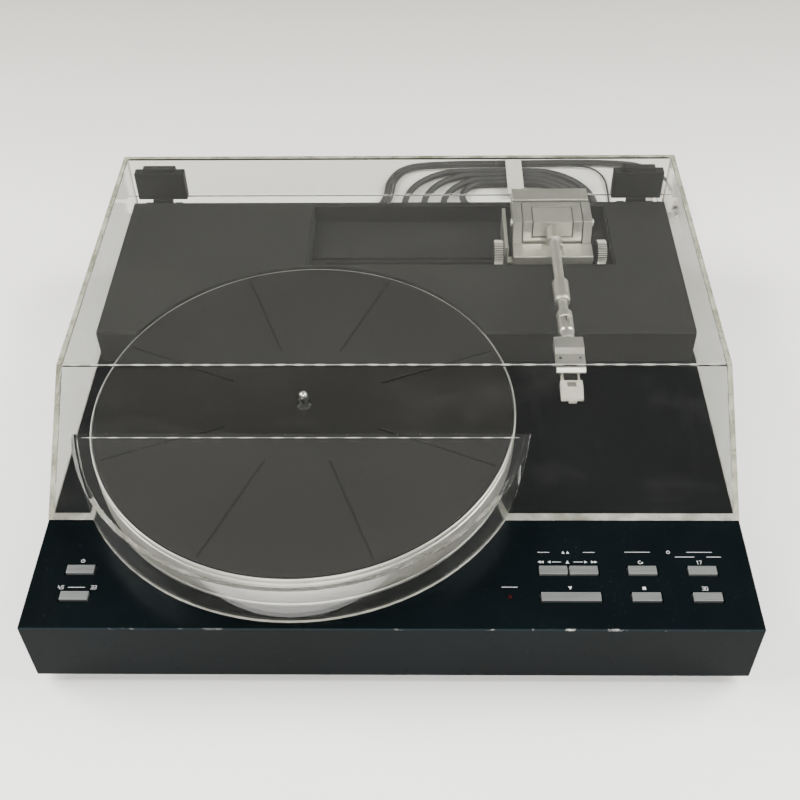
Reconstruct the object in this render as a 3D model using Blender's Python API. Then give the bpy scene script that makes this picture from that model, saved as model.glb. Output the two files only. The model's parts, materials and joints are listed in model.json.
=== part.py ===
"""Linear-tracking record player with a clear dust cover, built as separate solids.

Metres, +Z up, +X to the right, +Y to the back. The origin lies on the table under the middle of the
plinth. Depths are given as a distance behind the plinth's front face and turned into Y by back()."""

import math

import bmesh
import bpy
from mathutils import Matrix, Vector

# Plinth
WIDTH = 0.468
DEPTH = 0.4251
DECK_Z = 0.0631
PLINTH_BOTTOM_Z = 0.0085
PANEL = 0.003
BASE_PLATE = 0.002
EDGE = 0.0006
GAP = 0.0003
FOOT_RADIUS = 0.018
FOOT_X = 0.195
FOOT_BACK = (0.045, 0.380)

# Platter
PLATTER_X = -0.0634
PLATTER_BACK = 0.1661
PLATTER_RADIUS = 0.1500
MAT_RADIUS = 0.1481
MAT_TOP_Z = 0.0920
MAT_THICK = 0.0022
PLATTER_SKIRT_Z = 0.0655
SPINDLE_RADIUS = 0.0036
SPINDLE_TOP_Z = 0.1045
SPINDLE_FOOT_Z = 0.0215
HUB_Z = 0.0748
WEB_Z = 0.0795
RIM_TOP_Z = 0.0912
BEARING_FOOT_Z = 0.0160
BEARING_RADIUS = 0.0125
BEARING_HOLE = 0.0132
MAGNET_RADIUS = 0.056

# Raised arm housing behind the platter
HOUSING_HALF = 0.2267
HOUSING_FRONT = 0.2381
HOUSING_REAR = 0.4037
HOUSING_TOP_Z = 0.0930
HOUSING_CUT_RADIUS = 0.1508
RECESS_X = (-0.0728, 0.1751)
RECESS_BACK = (0.3180, 0.3990)
RECESS_FLOOR_Z = 0.0763
TROUGH_WALL = 0.0012
STRIP_BACK = (0.3455, 0.3745)
SLOT_BACK = (0.3340, 0.3420)
TROUGH_FLOOR = 0.0025
TROUGH_DROP = 0.0008
DECK_WINDOW_X = (-0.0660, 0.1680)
DECK_WINDOW_BACK = (0.3220, 0.3850)

# Dust cover
COVER = 0.0035
COVER_FRONT = 0.0854
FOLD_BACK = 0.1715
COVER_TOP_Z = 0.1266
BULGE_RADIUS = 0.1615
BULGE_TOP_Z = 0.0980
BULGE_PLATE = 0.0030
HINGE_BACK = 0.4125
HINGE_Z = 0.0800
COVER_REAR_Z = 0.0863
COVER_CORNER_RADIUS = 0.0155
LEAF_X = (0.1831, 0.2255)
LEAF_FRONT = 0.4130
LEAF_Z = (0.0885, 0.1150)
LEAF_CAP_X = (0.1905, 0.2180)
LEAF_CAP_Z = 0.1180
KNUCKLE_X = (0.1960, 0.2126)
KNUCKLE_RADIUS = 0.0045
HINGE_PIN_RADIUS = 0.0020

# Carriage and arm
ARM_X = 0.1252
ARM_Z = 0.1120
PIVOT_BACK = 0.3484
YOKE_TOP_Z = 0.1180
RIDGE_BACK = 0.3415
YOKE_REAR = 0.3683
ROD_BACK = 0.3380
ROD_Z = 0.0680
ROD_RADIUS = 0.0035
BUSH_RADIUS = 0.0055
DIAL_RADIUS = 0.0102
DIAL_TEETH = 30
DIAL_BACK = 0.3306
DIAL_Z = 0.0955
SHAFT_Z = 0.1080
SHAFT_RADIUS = 0.0030
BAR_HALF = 0.0320
BAR_BACK = (0.3200, 0.3370)
BAR_Z = (0.0905, 0.0995)
YOKE_HALF = 0.0315
YOKE_FRONT = 0.3373
YOKE_FOOT_Z = 0.0800
CHEEK_INSIDE = 0.0245
SCREW_START = 0.0240
SCREW_RADIUS = 0.0025
GIMBAL_HALF = 0.0237
BLOCK_HALF = 0.0157
TUBE_BACK = 0.3391
HEADSHELL_HALF = 0.0105
CARTRIDGE_HALF = 0.0075
WEIGHT_HALF = 0.0310
WEIGHT_BACK = (0.3711, 0.3870)
BELT_BACK = 0.3650
PULLEY_RADIUS = 0.0090
PULLEY_X = (-0.0520, 0.1500)
PULLEY_Z = (0.0602, 0.0655)
BELT_Z = (0.0611, 0.0644)
BELT_THICK = 0.0008
MOTOR_RADIUS = 0.014
MOTOR_Z = (0.0220, 0.0583)
MOTOR_FLANGE_Z = 0.0598

# Buttons: name, middle x, distance behind the front face, width
ROW_FRONT = 0.0243
ROW_REAR = 0.0447
CAP_WIDTH = 0.0184
CAP_DEPTH = 0.0066
CAP_PROUD = 0.0012
CAP_GAP = 0.0009
BUTTONS = (
    ("button_power", -0.2030, ROW_REAR, CAP_WIDTH),
    ("button_speed", -0.2030, ROW_FRONT, CAP_WIDTH),
    ("button_arm_left", 0.1054, ROW_REAR, CAP_WIDTH),
    ("button_arm_right", 0.1251, ROW_REAR, CAP_WIDTH),
    ("button_arm_down", 0.1152, ROW_FRONT, 0.0380),
    ("button_repeat", 0.1632, ROW_REAR, CAP_WIDTH),
    ("button_cut", 0.1632, ROW_FRONT, CAP_WIDTH),
    ("button_size_17", 0.2020, ROW_REAR, CAP_WIDTH),
    ("button_size_30", 0.2020, ROW_FRONT, CAP_WIDTH),
)
PAIRED_KEYS = ("button_arm_left", "button_arm_right")
LAMP_X = 0.0764
LAMP_RADIUS = 0.0014

# Leads
GLAND_Z = 0.0205
GLAND_HOLE = 0.0065
PHONO_HOLE = 0.0081
GLAND_LENGTH = 0.0200
MAINS_X = 0.1890
PHONO_X = -0.0400
MAINS_RADIUS = 0.00325
PHONO_RADIUS = 0.0018
GROUND_RADIUS = 0.0010
HANK_Z = (0.0012, 0.0080)
HANK_X = (-0.0005, 0.1925)
HANK_BACK = (0.4560, 0.5790)
HANK_HOLE_X = (0.0830, 0.1650)
HANK_HOLE_BACK = (0.4925, 0.5350)
PLUG_BACK = 0.5080
PLUG_X = (0.1090, 0.1420)
PLUG_HALF = (0.0125, 0.0075)
PIN_OFFSETS = (-0.0064, 0.0064)
TIE_X = (0.1050, 0.1210)
TIE_BACK = (0.5320, 0.6020)
TIE_Z = (0.0002, 0.0098)
ROUTE_STEP = 0.0115

# Colour, roughness, metallic of each finish
FINISHES = {
    "black_lacquer": ((0.012, 0.015, 0.018), 0.35, 0.0),
    "black_plastic": ((0.030, 0.030, 0.030), 0.55, 0.0),
    "rubber": ((0.015, 0.015, 0.015), 0.85, 0.0),
    "mat_rubber": ((0.075, 0.073, 0.066), 0.80, 0.0),
    "polished_aluminium": ((0.80, 0.80, 0.78), 0.15, 1.0),
    "satin_aluminium": ((0.55, 0.55, 0.52), 0.38, 1.0),
    "steel": ((0.60, 0.60, 0.60), 0.25, 1.0),
    "clear_acrylic": ((0.90, 0.92, 0.90), 0.03, 0.0),
    "button_grey": ((0.42, 0.44, 0.44), 0.45, 0.0),
    "ivory": ((0.72, 0.70, 0.62), 0.45, 0.0),
    "circuit_board": ((0.05, 0.16, 0.07), 0.50, 0.0),
    "copper": ((0.55, 0.27, 0.12), 0.35, 1.0),
    "magnet": ((0.08, 0.08, 0.08), 0.50, 0.3),
    "red_plastic": ((0.50, 0.03, 0.03), 0.45, 0.0),
    "lamp_lens": ((0.12, 0.01, 0.01), 0.20, 0.0),
    "tape": ((0.62, 0.62, 0.56), 0.60, 0.0),
}


def back(distance):
    """World Y of a point this far behind the plinth's front face."""
    return distance - DEPTH / 2


def clear_scene():
    for obj in list(bpy.data.objects):
        bpy.data.objects.remove(obj, do_unlink=True)


def material(name):
    found = bpy.data.materials.get(name)
    if found:
        return found
    made = bpy.data.materials.new(name)
    made.use_nodes = True
    colour, roughness, metallic = FINISHES[name]
    shader = made.node_tree.nodes["Principled BSDF"]
    shader.inputs["Base Color"].default_value = (*colour, 1.0)
    shader.inputs["Roughness"].default_value = roughness
    shader.inputs["Metallic"].default_value = metallic
    made.diffuse_color = (*colour, 1.0)
    return made


def empty(name, place, parent=None):
    made = bpy.data.objects.new(name, None)
    bpy.context.scene.collection.objects.link(made)
    made.parent = parent
    made.location = place if parent is None else Vector(place) - parent.matrix_world.translation
    bpy.context.view_layer.update()
    return made


# Shapes, each a bmesh in world coordinates


def box(x_range, back_range, z_range, bevel=0.0, segments=2):
    middle = [(low + high) / 2 for low, high in (x_range, back_range, z_range)]
    size = [high - low for low, high in (x_range, back_range, z_range)]
    shape = bmesh.new()
    bmesh.ops.create_cube(shape, size=1.0)
    for vertex in shape.verts:
        vertex.co = [m + s * c for m, s, c in zip(middle, size, vertex.co)]
        vertex.co.y = back(vertex.co.y)
    if bevel:
        bmesh.ops.bevel(shape, geom=shape.edges[:], offset=bevel, segments=segments, affect="EDGES")
    return shape


def prism(outline, axis, low, high):
    """Extrudes an outline along an axis. It is (x, back) along Z, (back, z) along X, (x, z) along Y."""
    shape = bmesh.new()
    corners = []
    for u, v in outline:
        if axis == "X":
            corners.append(shape.verts.new((low, back(u), v)))
        elif axis == "Y":
            corners.append(shape.verts.new((u, back(low), v)))
        else:
            corners.append(shape.verts.new((u, back(v), low)))
    face = shape.faces.new(corners)
    moved = bmesh.ops.extrude_face_region(shape, geom=[face])["geom"]
    step = {"X": Vector((1, 0, 0)), "Y": Vector((0, 1, 0)), "Z": Vector((0, 0, 1))}[axis] * (high - low)
    bmesh.ops.translate(shape, vec=step, verts=[g for g in moved if isinstance(g, bmesh.types.BMVert)])
    bmesh.ops.recalc_face_normals(shape, faces=shape.faces[:])
    return shape


def turned(profile, place, direction=(0, 0, 1), segments=32):
    """Turns a closed profile of (radius, height) round an axis through place (x, back, z)."""
    shape = bmesh.new()
    rings = []
    for radius, height in profile:
        if radius == 0:
            rings.append([shape.verts.new((0, 0, height))])
            continue
        angles = [2 * math.pi * i / segments for i in range(segments)]
        rings.append([shape.verts.new((radius * math.cos(a), radius * math.sin(a), height)) for a in angles])
    for first, second in zip(rings, rings[1:] + rings[:1]):
        if len(first) == 1 and len(second) == 1:
            continue
        for i in range(segments):
            j = (i + 1) % segments
            corners = [first[0]] if len(first) == 1 else [first[i], first[j]]
            corners += [second[0]] if len(second) == 1 else [second[j], second[i]]
            shape.faces.new(corners)
    bmesh.ops.recalc_face_normals(shape, faces=shape.faces[:])
    x, depth, z = place
    turn = Vector((0, 0, 1)).rotation_difference(Vector(direction)).to_matrix().to_4x4()
    bmesh.ops.transform(shape, matrix=Matrix.Translation((x, back(depth), z)) @ turn, verts=shape.verts)
    return shape


def disc(radius, place, length, direction=(0, 0, 1), segments=32, chamfer=0.0):
    """A cylinder that starts at place and runs along direction, with chamfered ends."""
    c = chamfer
    rim = [(radius, c), (radius, length - c)]
    if c:
        rim = [(radius - c, 0), *rim, (radius - c, length)]
    else:
        rim = [(radius, 0), (radius, length)]
    return turned([(0, 0), *rim, (0, length)], place, direction, segments)


def tube(inner, outer, place, length, direction=(0, 0, 1), segments=32):
    profile = [(inner, 0), (outer, 0), (outer, length), (inner, length)]
    return turned(profile, place, direction, segments)


def merged(*shapes):
    """Puts separate shapes that don't touch into one bmesh, for one cut."""
    whole = bmesh.new()
    for shape in shapes:
        mesh = bpy.data.meshes.new("part of a cutter")
        shape.to_mesh(mesh)
        whole.from_mesh(mesh)
        bpy.data.meshes.remove(mesh)
        shape.free()
    return whole


# Objects


def solid(name, shape, finish, axis_place=None, parent=None, smooth=False):
    """Makes a named object from a bmesh, with its origin at axis_place, in world coordinates."""
    origin = Vector(axis_place or (0, 0, 0))
    bmesh.ops.translate(shape, vec=-origin, verts=shape.verts)
    mesh = bpy.data.meshes.new(name)
    shape.to_mesh(mesh)
    shape.free()
    mesh.materials.append(material(finish))
    if smooth:
        mesh.shade_smooth()
        mesh.set_sharp_from_angle(angle=math.radians(35))
    obj = bpy.data.objects.new(name, mesh)
    bpy.context.scene.collection.objects.link(obj)
    obj.parent = parent
    obj.location = origin if parent is None else origin - parent.matrix_world.translation
    bpy.context.view_layer.update()
    return obj


def apply_boolean(obj, shape, operation):
    number = len(obj.modifiers) + 1
    helper = solid(f"{obj.name}_tool_{number}", shape, "black_plastic")
    helper.hide_render = True
    helper.display_type = "WIRE"
    modifier = obj.modifiers.new(f"{operation.lower()} {number}", "BOOLEAN")
    modifier.operation = operation
    modifier.solver = "EXACT"
    modifier.object = helper


def cut(obj, *shapes):
    apply_boolean(obj, merged(*shapes), "DIFFERENCE")


def join(obj, *shapes):
    for shape in shapes:
        apply_boolean(obj, shape, "UNION")


def arc(centre, radius, start, end, steps):
    """Points on a circle from the start angle to the end angle, in degrees."""
    angles = [math.radians(start + (end - start) * i / steps) for i in range(steps + 1)]
    return [(centre[0] + radius * math.cos(a), centre[1] + radius * math.sin(a)) for a in angles]


def stadium(x_range, back_range, steps=16):
    """The outline of a run with two round ends."""
    radius = (back_range[1] - back_range[0]) / 2
    middle = sum(back_range) / 2
    right = arc((x_range[1] - radius, middle), radius, -90, 90, steps)
    left = arc((x_range[0] + radius, middle), radius, 90, 270, steps)
    return right + left


# Plinth and what it holds


def build_plinth():
    half = WIDTH / 2
    shell = solid(
        "plinth_shell",
        box((-half, half), (0, DEPTH), (PLINTH_BOTTOM_Z, DECK_Z), EDGE, 1),
        "black_lacquer",
    )
    inside = half - PANEL
    cut(shell, box((-inside, inside), (PANEL, DEPTH - PANEL), (0, DECK_Z - PANEL)))
    below = DECK_Z - 2 * PANEL
    through = (below, DECK_Z + PANEL)
    reach_y = CAP_DEPTH / 2 + CAP_GAP
    slots = []
    pair = []
    for name, x, depth, width in BUTTONS:
        edges = [x - width / 2 - CAP_GAP, x + width / 2 + CAP_GAP]
        if name in PAIRED_KEYS:
            pair += edges
        else:
            slots.append(box(edges, (depth - reach_y, depth + reach_y), through))
    slots.append(box((min(pair), max(pair)), (ROW_REAR - reach_y, ROW_REAR + reach_y), through))
    slots.append(disc(LAMP_RADIUS + GAP, (LAMP_X, ROW_FRONT, below), 3 * PANEL, segments=16))
    slots.append(disc(BEARING_HOLE, (PLATTER_X, PLATTER_BACK, below), 3 * PANEL))
    slots.append(box(DECK_WINDOW_X, DECK_WINDOW_BACK, through))
    cut(shell, *slots)
    wall = DEPTH - 2 * PANEL
    cut(
        shell,
        disc(GLAND_HOLE, (MAINS_X, wall, GLAND_Z), 3 * PANEL, (0, 1, 0), 24),
        disc(PHONO_HOLE, (PHONO_X, wall, GLAND_Z), 3 * PANEL, (0, 1, 0), 24),
    )
    inset = PANEL + 0.0005
    solid(
        "bottom_cover",
        box(
            (-half + inset, half - inset),
            (inset, DEPTH - inset),
            (PLINTH_BOTTOM_Z, PLINTH_BOTTOM_Z + BASE_PLATE),
        ),
        "black_plastic",
    )


def build_feet():
    top = PLINTH_BOTTOM_Z - GAP
    r = FOOT_RADIUS
    profile = [(0, 0), (r - 0.0015, 0), (r, 0.0015), (r, top - 0.002), (r - 0.002, top), (0, top)]
    for row, depth in zip(("front", "rear"), FOOT_BACK):
        for side, x in (("left", -FOOT_X), ("right", FOOT_X)):
            solid(f"foot_{row}_{side}", turned(profile, (x, depth, 0), segments=20), "rubber", smooth=True)


def build_inside():
    floor = PLINTH_BOTTOM_Z + BASE_PLATE + GAP
    transformer = solid(
        "power_transformer", box((-0.192, -0.130), (0.300, 0.352), (floor, 0.050), 0.001, 1), "steel"
    )
    join(transformer, box((-0.180, -0.142), (0.290, 0.362), (floor + 0.006, 0.043)))
    sheet = box((0.000, 0.215), (0.070, 0.290), (floor + 0.003, floor + 0.0046))
    board = solid("main_board", sheet, "circuit_board")
    chips = [
        box((0.030, 0.070), (0.100, 0.115), (floor + 0.004, floor + 0.009)),
        box((0.100, 0.135), (0.150, 0.164), (floor + 0.004, floor + 0.009)),
        box((0.150, 0.185), (0.100, 0.112), (floor + 0.004, floor + 0.009)),
        disc(0.008, (0.050, 0.230, floor + 0.004), 0.022, segments=12),
        disc(0.008, (0.075, 0.230, floor + 0.004), 0.022, segments=12),
        *[disc(0.003, (x, y, floor), 0.004, segments=8) for x in (0.010, 0.205) for y in (0.080, 0.280)],
    ]
    join(board, *chips)
    solid(
        "lock_lamp",
        disc(LAMP_RADIUS, (LAMP_X, ROW_FRONT, DECK_Z - PANEL), PANEL + GAP, segments=16),
        "lamp_lens",
        smooth=True,
    )


def build_buttons():
    top = DECK_Z + CAP_PROUD
    under = DECK_Z - PANEL - GAP
    for name, x, depth, width in BUTTONS:
        cap = box(
            (x - width / 2, x + width / 2),
            (depth - CAP_DEPTH / 2, depth + CAP_DEPTH / 2),
            (under - 0.001, top),
            0.0003,
            1,
        )
        button = solid(name, cap, "button_grey", (x, back(depth), top))
        reach = width / 2 + (0.0002 if name in PAIRED_KEYS else CAP_GAP + 0.001)
        lip = CAP_DEPTH / 2 + CAP_GAP + 0.001
        join(button, box((x - reach, x + reach), (depth - lip, depth + lip), (under - 0.0020, under)))


# Platter


def build_platter():
    spin = empty("platter_axis", (PLATTER_X, back(PLATTER_BACK), DECK_Z))
    place = (PLATTER_X, PLATTER_BACK, 0)
    origin = spin.location
    seat = MAT_TOP_Z - MAT_THICK - GAP
    rim = PLATTER_RADIUS
    lip = MAT_RADIUS + GAP
    profile = [
        (SPINDLE_RADIUS + GAP, HUB_Z),
        (0.060, HUB_Z),
        (0.061, WEB_Z),
        (rim - 0.0080, WEB_Z),
        (rim - 0.0065, 0.0780),
        (rim - 0.0065, PLATTER_SKIRT_Z),
        (rim - 0.0010, PLATTER_SKIRT_Z),
        (rim - 0.0002, PLATTER_SKIRT_Z + 0.0008),
        (rim, 0.0860),
        (rim - 0.0008, 0.0868),
        (rim - 0.0008, 0.0878),
        (rim, 0.0886),
        (rim, 0.0906),
        (rim - 0.0006, RIM_TOP_Z),
        (lip + 0.0002, RIM_TOP_Z),
        (lip, seat),
        (SPINDLE_RADIUS + GAP, seat),
    ]
    solid("platter", turned(profile, place, segments=72), "polished_aluminium", origin, spin, True)
    r = MAT_RADIUS
    mat = [
        (0.0050, seat + GAP),
        (r, seat + GAP),
        (r, MAT_TOP_Z - 0.0006),
        (r - 0.0008, MAT_TOP_Z),
        (0.0050, MAT_TOP_Z),
    ]
    solid("platter_mat", turned(mat, place, segments=72), "mat_rubber", origin, spin, True)
    s = SPINDLE_RADIUS
    top = SPINDLE_TOP_Z
    foot = SPINDLE_FOOT_Z
    pin = [
        (0, foot),
        (s - 0.001, foot),
        (s, foot + 0.001),
        (s, top - 0.0035),
        (s - 0.0008, top - 0.0012),
        (0, top),
    ]
    solid("spindle", turned(pin, place, segments=24), "steel", origin, spin, True)
    under = 0.0702
    magnet = tube(0.0285, MAGNET_RADIUS, (PLATTER_X, PLATTER_BACK, under), HUB_Z - under - GAP, segments=32)
    solid("rotor_magnet", magnet, "magnet", origin, spin, True)

    b = BEARING_RADIUS
    bore = SPINDLE_RADIUS + GAP
    deck = DECK_Z + GAP
    bearing = [
        (0, BEARING_FOOT_Z),
        (b, BEARING_FOOT_Z),
        (b, deck),
        (0.0260, deck),
        (0.0260, deck + 0.0025),
        (0.0090, deck + 0.0025),
        (0.0080, deck + 0.0045),
        (bore, deck + 0.0045),
        (bore, 0.0200),
        (0, 0.0200),
    ]
    solid("platter_bearing", turned(bearing, place, segments=24), "steel", smooth=True)
    stator = tube(0.0275, MAGNET_RADIUS, (PLATTER_X, PLATTER_BACK, deck), 0.0045, segments=32)
    solid("motor_stator", stator, "copper", smooth=True)


# Arm housing


def build_housing():
    w = HOUSING_HALF
    chamfer = 0.0015
    outer = [
        (HOUSING_FRONT, DECK_Z + GAP),
        (HOUSING_REAR, DECK_Z + GAP),
        (HOUSING_REAR, HOUSING_TOP_Z - chamfer),
        (HOUSING_REAR - chamfer, HOUSING_TOP_Z),
        (HOUSING_FRONT + chamfer, HOUSING_TOP_Z),
        (HOUSING_FRONT, HOUSING_TOP_Z - chamfer),
    ]
    housing = solid("rear_block", prism(outer, "X", -w, w), "black_plastic")
    hollow = box(
        (-w + PANEL, w - PANEL),
        (HOUSING_FRONT + PANEL, HOUSING_REAR - PANEL),
        (DECK_Z - PANEL, HOUSING_TOP_Z - PANEL),
    )
    tall = 0.040
    well = (PLATTER_X, PLATTER_BACK, DECK_Z - 2 * PANEL)
    skin = disc(HOUSING_CUT_RADIUS + PANEL, well, tall, segments=96)
    inside = solid("rear_block_inside", hollow, "black_plastic")
    apply_boolean(inside, skin, "DIFFERENCE")
    cut(inside, box((RECESS_X[0] - 0.004, RECESS_X[1]), (0.30, RECESS_BACK[0]), (0.080, 0.10)))
    inside.hide_render = True
    inside.display_type = "WIRE"
    hollowing = housing.modifiers.new("hollow", "BOOLEAN")
    hollowing.operation = "DIFFERENCE"
    hollowing.object = inside
    well = (PLATTER_X, PLATTER_BACK, DECK_Z - PANEL)
    cut(housing, disc(HOUSING_CUT_RADIUS, well, tall, segments=96))
    cut(housing, box(RECESS_X, RECESS_BACK, (DECK_Z - PANEL, HOUSING_TOP_Z + PANEL)))


def build_trough():
    x_low, x_high = RECESS_X[0] + GAP, RECESS_X[1] - GAP
    y_low, y_high = RECESS_BACK[0] + GAP, RECESS_BACK[1] - GAP
    under = RECESS_FLOOR_Z - TROUGH_FLOOR
    tray = box((x_low, x_high), (y_low, y_high), (under, HOUSING_TOP_Z - TROUGH_DROP))
    trough = solid("arm_trough", tray, "black_plastic")
    t = TROUGH_WALL
    above = HOUSING_TOP_Z + PANEL
    cut(trough, box((x_low + t, x_high - t), (y_low + t, y_high - t), (RECESS_FLOOR_Z, above)))
    strip_z = (under + 0.0005, RECESS_FLOOR_Z + 0.002)
    join(trough, box((x_low + t / 2, x_high - t / 2), STRIP_BACK, strip_z))
    lug = 0.006
    for x in (x_low, x_high - lug):
        join(trough, box((x, x + lug), (0.3310, 0.3450), (DECK_Z + GAP, under + 0.001)))
    pin_x = PULLEY_X[0]
    join(trough, disc(0.002, (pin_x, BELT_BACK, 0.0605), under - 0.0595, segments=16))
    cut(trough, box((-0.060, 0.166), SLOT_BACK, (under - 0.001, RECESS_FLOOR_Z + 0.001)))
    bore = disc(ROD_RADIUS + GAP, (x_low - 0.01, ROD_BACK, ROD_Z), x_high - x_low + 0.02, (1, 0, 0), 20)
    cut(trough, bore)
    solid(
        "guide_rod",
        disc(ROD_RADIUS, (x_low + GAP, ROD_BACK, ROD_Z), x_high - x_low - 2 * GAP, (1, 0, 0), 20, 0.0004),
        "steel",
        smooth=True,
    )


def build_arm_drive():
    drive_x = PULLEY_X[1]
    flange = MOTOR_FLANGE_Z
    low, high = MOTOR_Z
    can = disc(MOTOR_RADIUS, (drive_x, BELT_BACK, low), high - low, segments=32, chamfer=0.001)
    motor = solid("arm_motor", can, "steel")
    join(motor, box((0.130, 0.185), (0.345, 0.400), (flange - 0.0028, flange)))
    join(motor, disc(0.0015, (drive_x, BELT_BACK, flange - 0.001), 0.0065, segments=12))
    for name, x, bore in (("idler_pulley", PULLEY_X[0], 0.0023), ("drive_pulley", drive_x, 0.0018)):
        r = PULLEY_RADIUS
        foot, top = PULLEY_Z
        profile = [
            (bore, foot),
            (r + 0.0006, foot),
            (r + 0.0006, 0.0607),
            (r, 0.0608),
            (r, 0.0647),
            (r + 0.0006, 0.0648),
            (r + 0.0006, top),
            (bore, top),
        ]
        place = (x, back(BELT_BACK), 0.0628)
        solid(name, turned(profile, (x, BELT_BACK, 0), segments=16), "black_plastic", place, smooth=True)
    inner = PULLEY_RADIUS + GAP
    outer = inner + BELT_THICK
    spans = (PULLEY_X[0], PULLEY_X[1])
    loop = stadium((spans[0] - outer, spans[1] + outer), (BELT_BACK - outer, BELT_BACK + outer))
    belt = solid("drive_belt", prism(loop, "Z", *BELT_Z), "rubber")
    hole = stadium((spans[0] - inner, spans[1] + inner), (BELT_BACK - inner, BELT_BACK + inner))
    cut(belt, prism(hole, "Z", 0.060, 0.066))


# Carriage


def at_arm(low, high):
    """An x range given from the arm's centre line."""
    return (ARM_X + low, ARM_X + high)


def build_carriage():
    slide = empty("carriage_axis", (ARM_X, back(ROD_BACK), ROD_Z))
    origin = slide.location
    cross_bar = box(at_arm(-BAR_HALF, BAR_HALF), BAR_BACK, BAR_Z, 0.0004, 1)
    base = solid("carriage_base", cross_bar, "satin_aluminium", origin, slide)
    join(base, box(at_arm(-0.012, 0.012), (0.3350, 0.3410), (0.0700, 0.0915)))
    join(base, disc(BUSH_RADIUS, (ARM_X - 0.012, ROD_BACK, ROD_Z), 0.024, (1, 0, 0), 24))
    join(base, box(at_arm(-0.006, 0.006), (0.3400, 0.3542), (0.0640, 0.0665)))
    join(base, box(at_arm(-0.0389, -0.0362), (0.3220, 0.3740), (0.0800, 0.1075), 0.0003, 1))
    join(base, box(at_arm(-0.0380, -0.0315), (0.3220, 0.3290), (0.0907, 0.0925)))
    cut(base, disc(ROD_RADIUS + GAP, (ARM_X - 0.02, ROD_BACK, ROD_Z), 0.040, (1, 0, 0), 20))
    cut(base, box(at_arm(-0.0085, 0.0085), (0.3225, 0.3345), (0.0945, 0.1050)))
    stub_hole = disc(0.0028, (ARM_X - 0.0420, DIAL_BACK, DIAL_Z), 0.0080, (1, 0, 0), 16)
    cut(base, stub_hole)

    side = [
        (YOKE_REAR, YOKE_FOOT_Z),
        (YOKE_REAR, YOKE_TOP_Z),
        (RIDGE_BACK, YOKE_TOP_Z),
        (YOKE_FRONT + 0.0006, 0.1005),
        (YOKE_FRONT, 0.0990),
        (YOKE_FRONT, 0.0905),
        (0.3440, YOKE_FOOT_Z),
    ]
    cheeks = prism(side, "X", *at_arm(-YOKE_HALF, YOKE_HALF))
    yoke = solid("carriage_yoke", cheeks, "satin_aluminium", origin, slide)
    cut(yoke, box(at_arm(-CHEEK_INSIDE, CHEEK_INSIDE), (0.330, 0.375), (0.0840, 0.125)))
    cut(yoke, disc(SCREW_RADIUS + GAP, (ARM_X - 0.040, PIVOT_BACK, ARM_Z), 0.080, (1, 0, 0), 16))
    for side_name, sign in (("left", -1), ("right", 1)):
        screw = [
            (0, 0),
            (SCREW_RADIUS, 0),
            (SCREW_RADIUS, 0.0078),
            (0.0032, 0.0078),
            (0.0032, 0.0092),
            (0.0024, 0.0098),
            (0, 0.0098),
        ]
        place = (ARM_X + sign * SCREW_START, PIVOT_BACK, ARM_Z)
        solid(
            f"pivot_screw_{side_name}",
            turned(screw, place, (sign, 0, 0), 16),
            "steel",
            parent=slide,
            smooth=True,
        )
    build_dials(slide)
    return slide


def build_dials(slide):
    teeth = []
    root = DIAL_RADIUS - 0.0005
    for i in range(DIAL_TEETH):
        middle = 2 * math.pi * i / DIAL_TEETH
        quarter = math.pi / 2 / DIAL_TEETH
        for step, radius in ((-1.2, root), (-0.8, DIAL_RADIUS), (0.8, DIAL_RADIUS), (1.2, root)):
            angle = middle + step * quarter
            teeth.append((DIAL_BACK + radius * math.cos(angle), DIAL_Z + radius * math.sin(angle)))
    for name, low, high, stub in (
        ("height_dial", -0.0474, -0.0394, (-0.0400, -0.0323)),
        ("force_dial", 0.0353, 0.0431, (0.0323, 0.0360)),
    ):
        place = (ARM_X + (low + high) / 2, back(DIAL_BACK), DIAL_Z)
        dial = solid(name, prism(teeth, "X", *at_arm(low, high)), "satin_aluminium", place, slide)
        length = stub[1] - stub[0]
        join(dial, disc(0.0024, (ARM_X + stub[0], DIAL_BACK, DIAL_Z), length, (1, 0, 0), 12))


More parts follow.
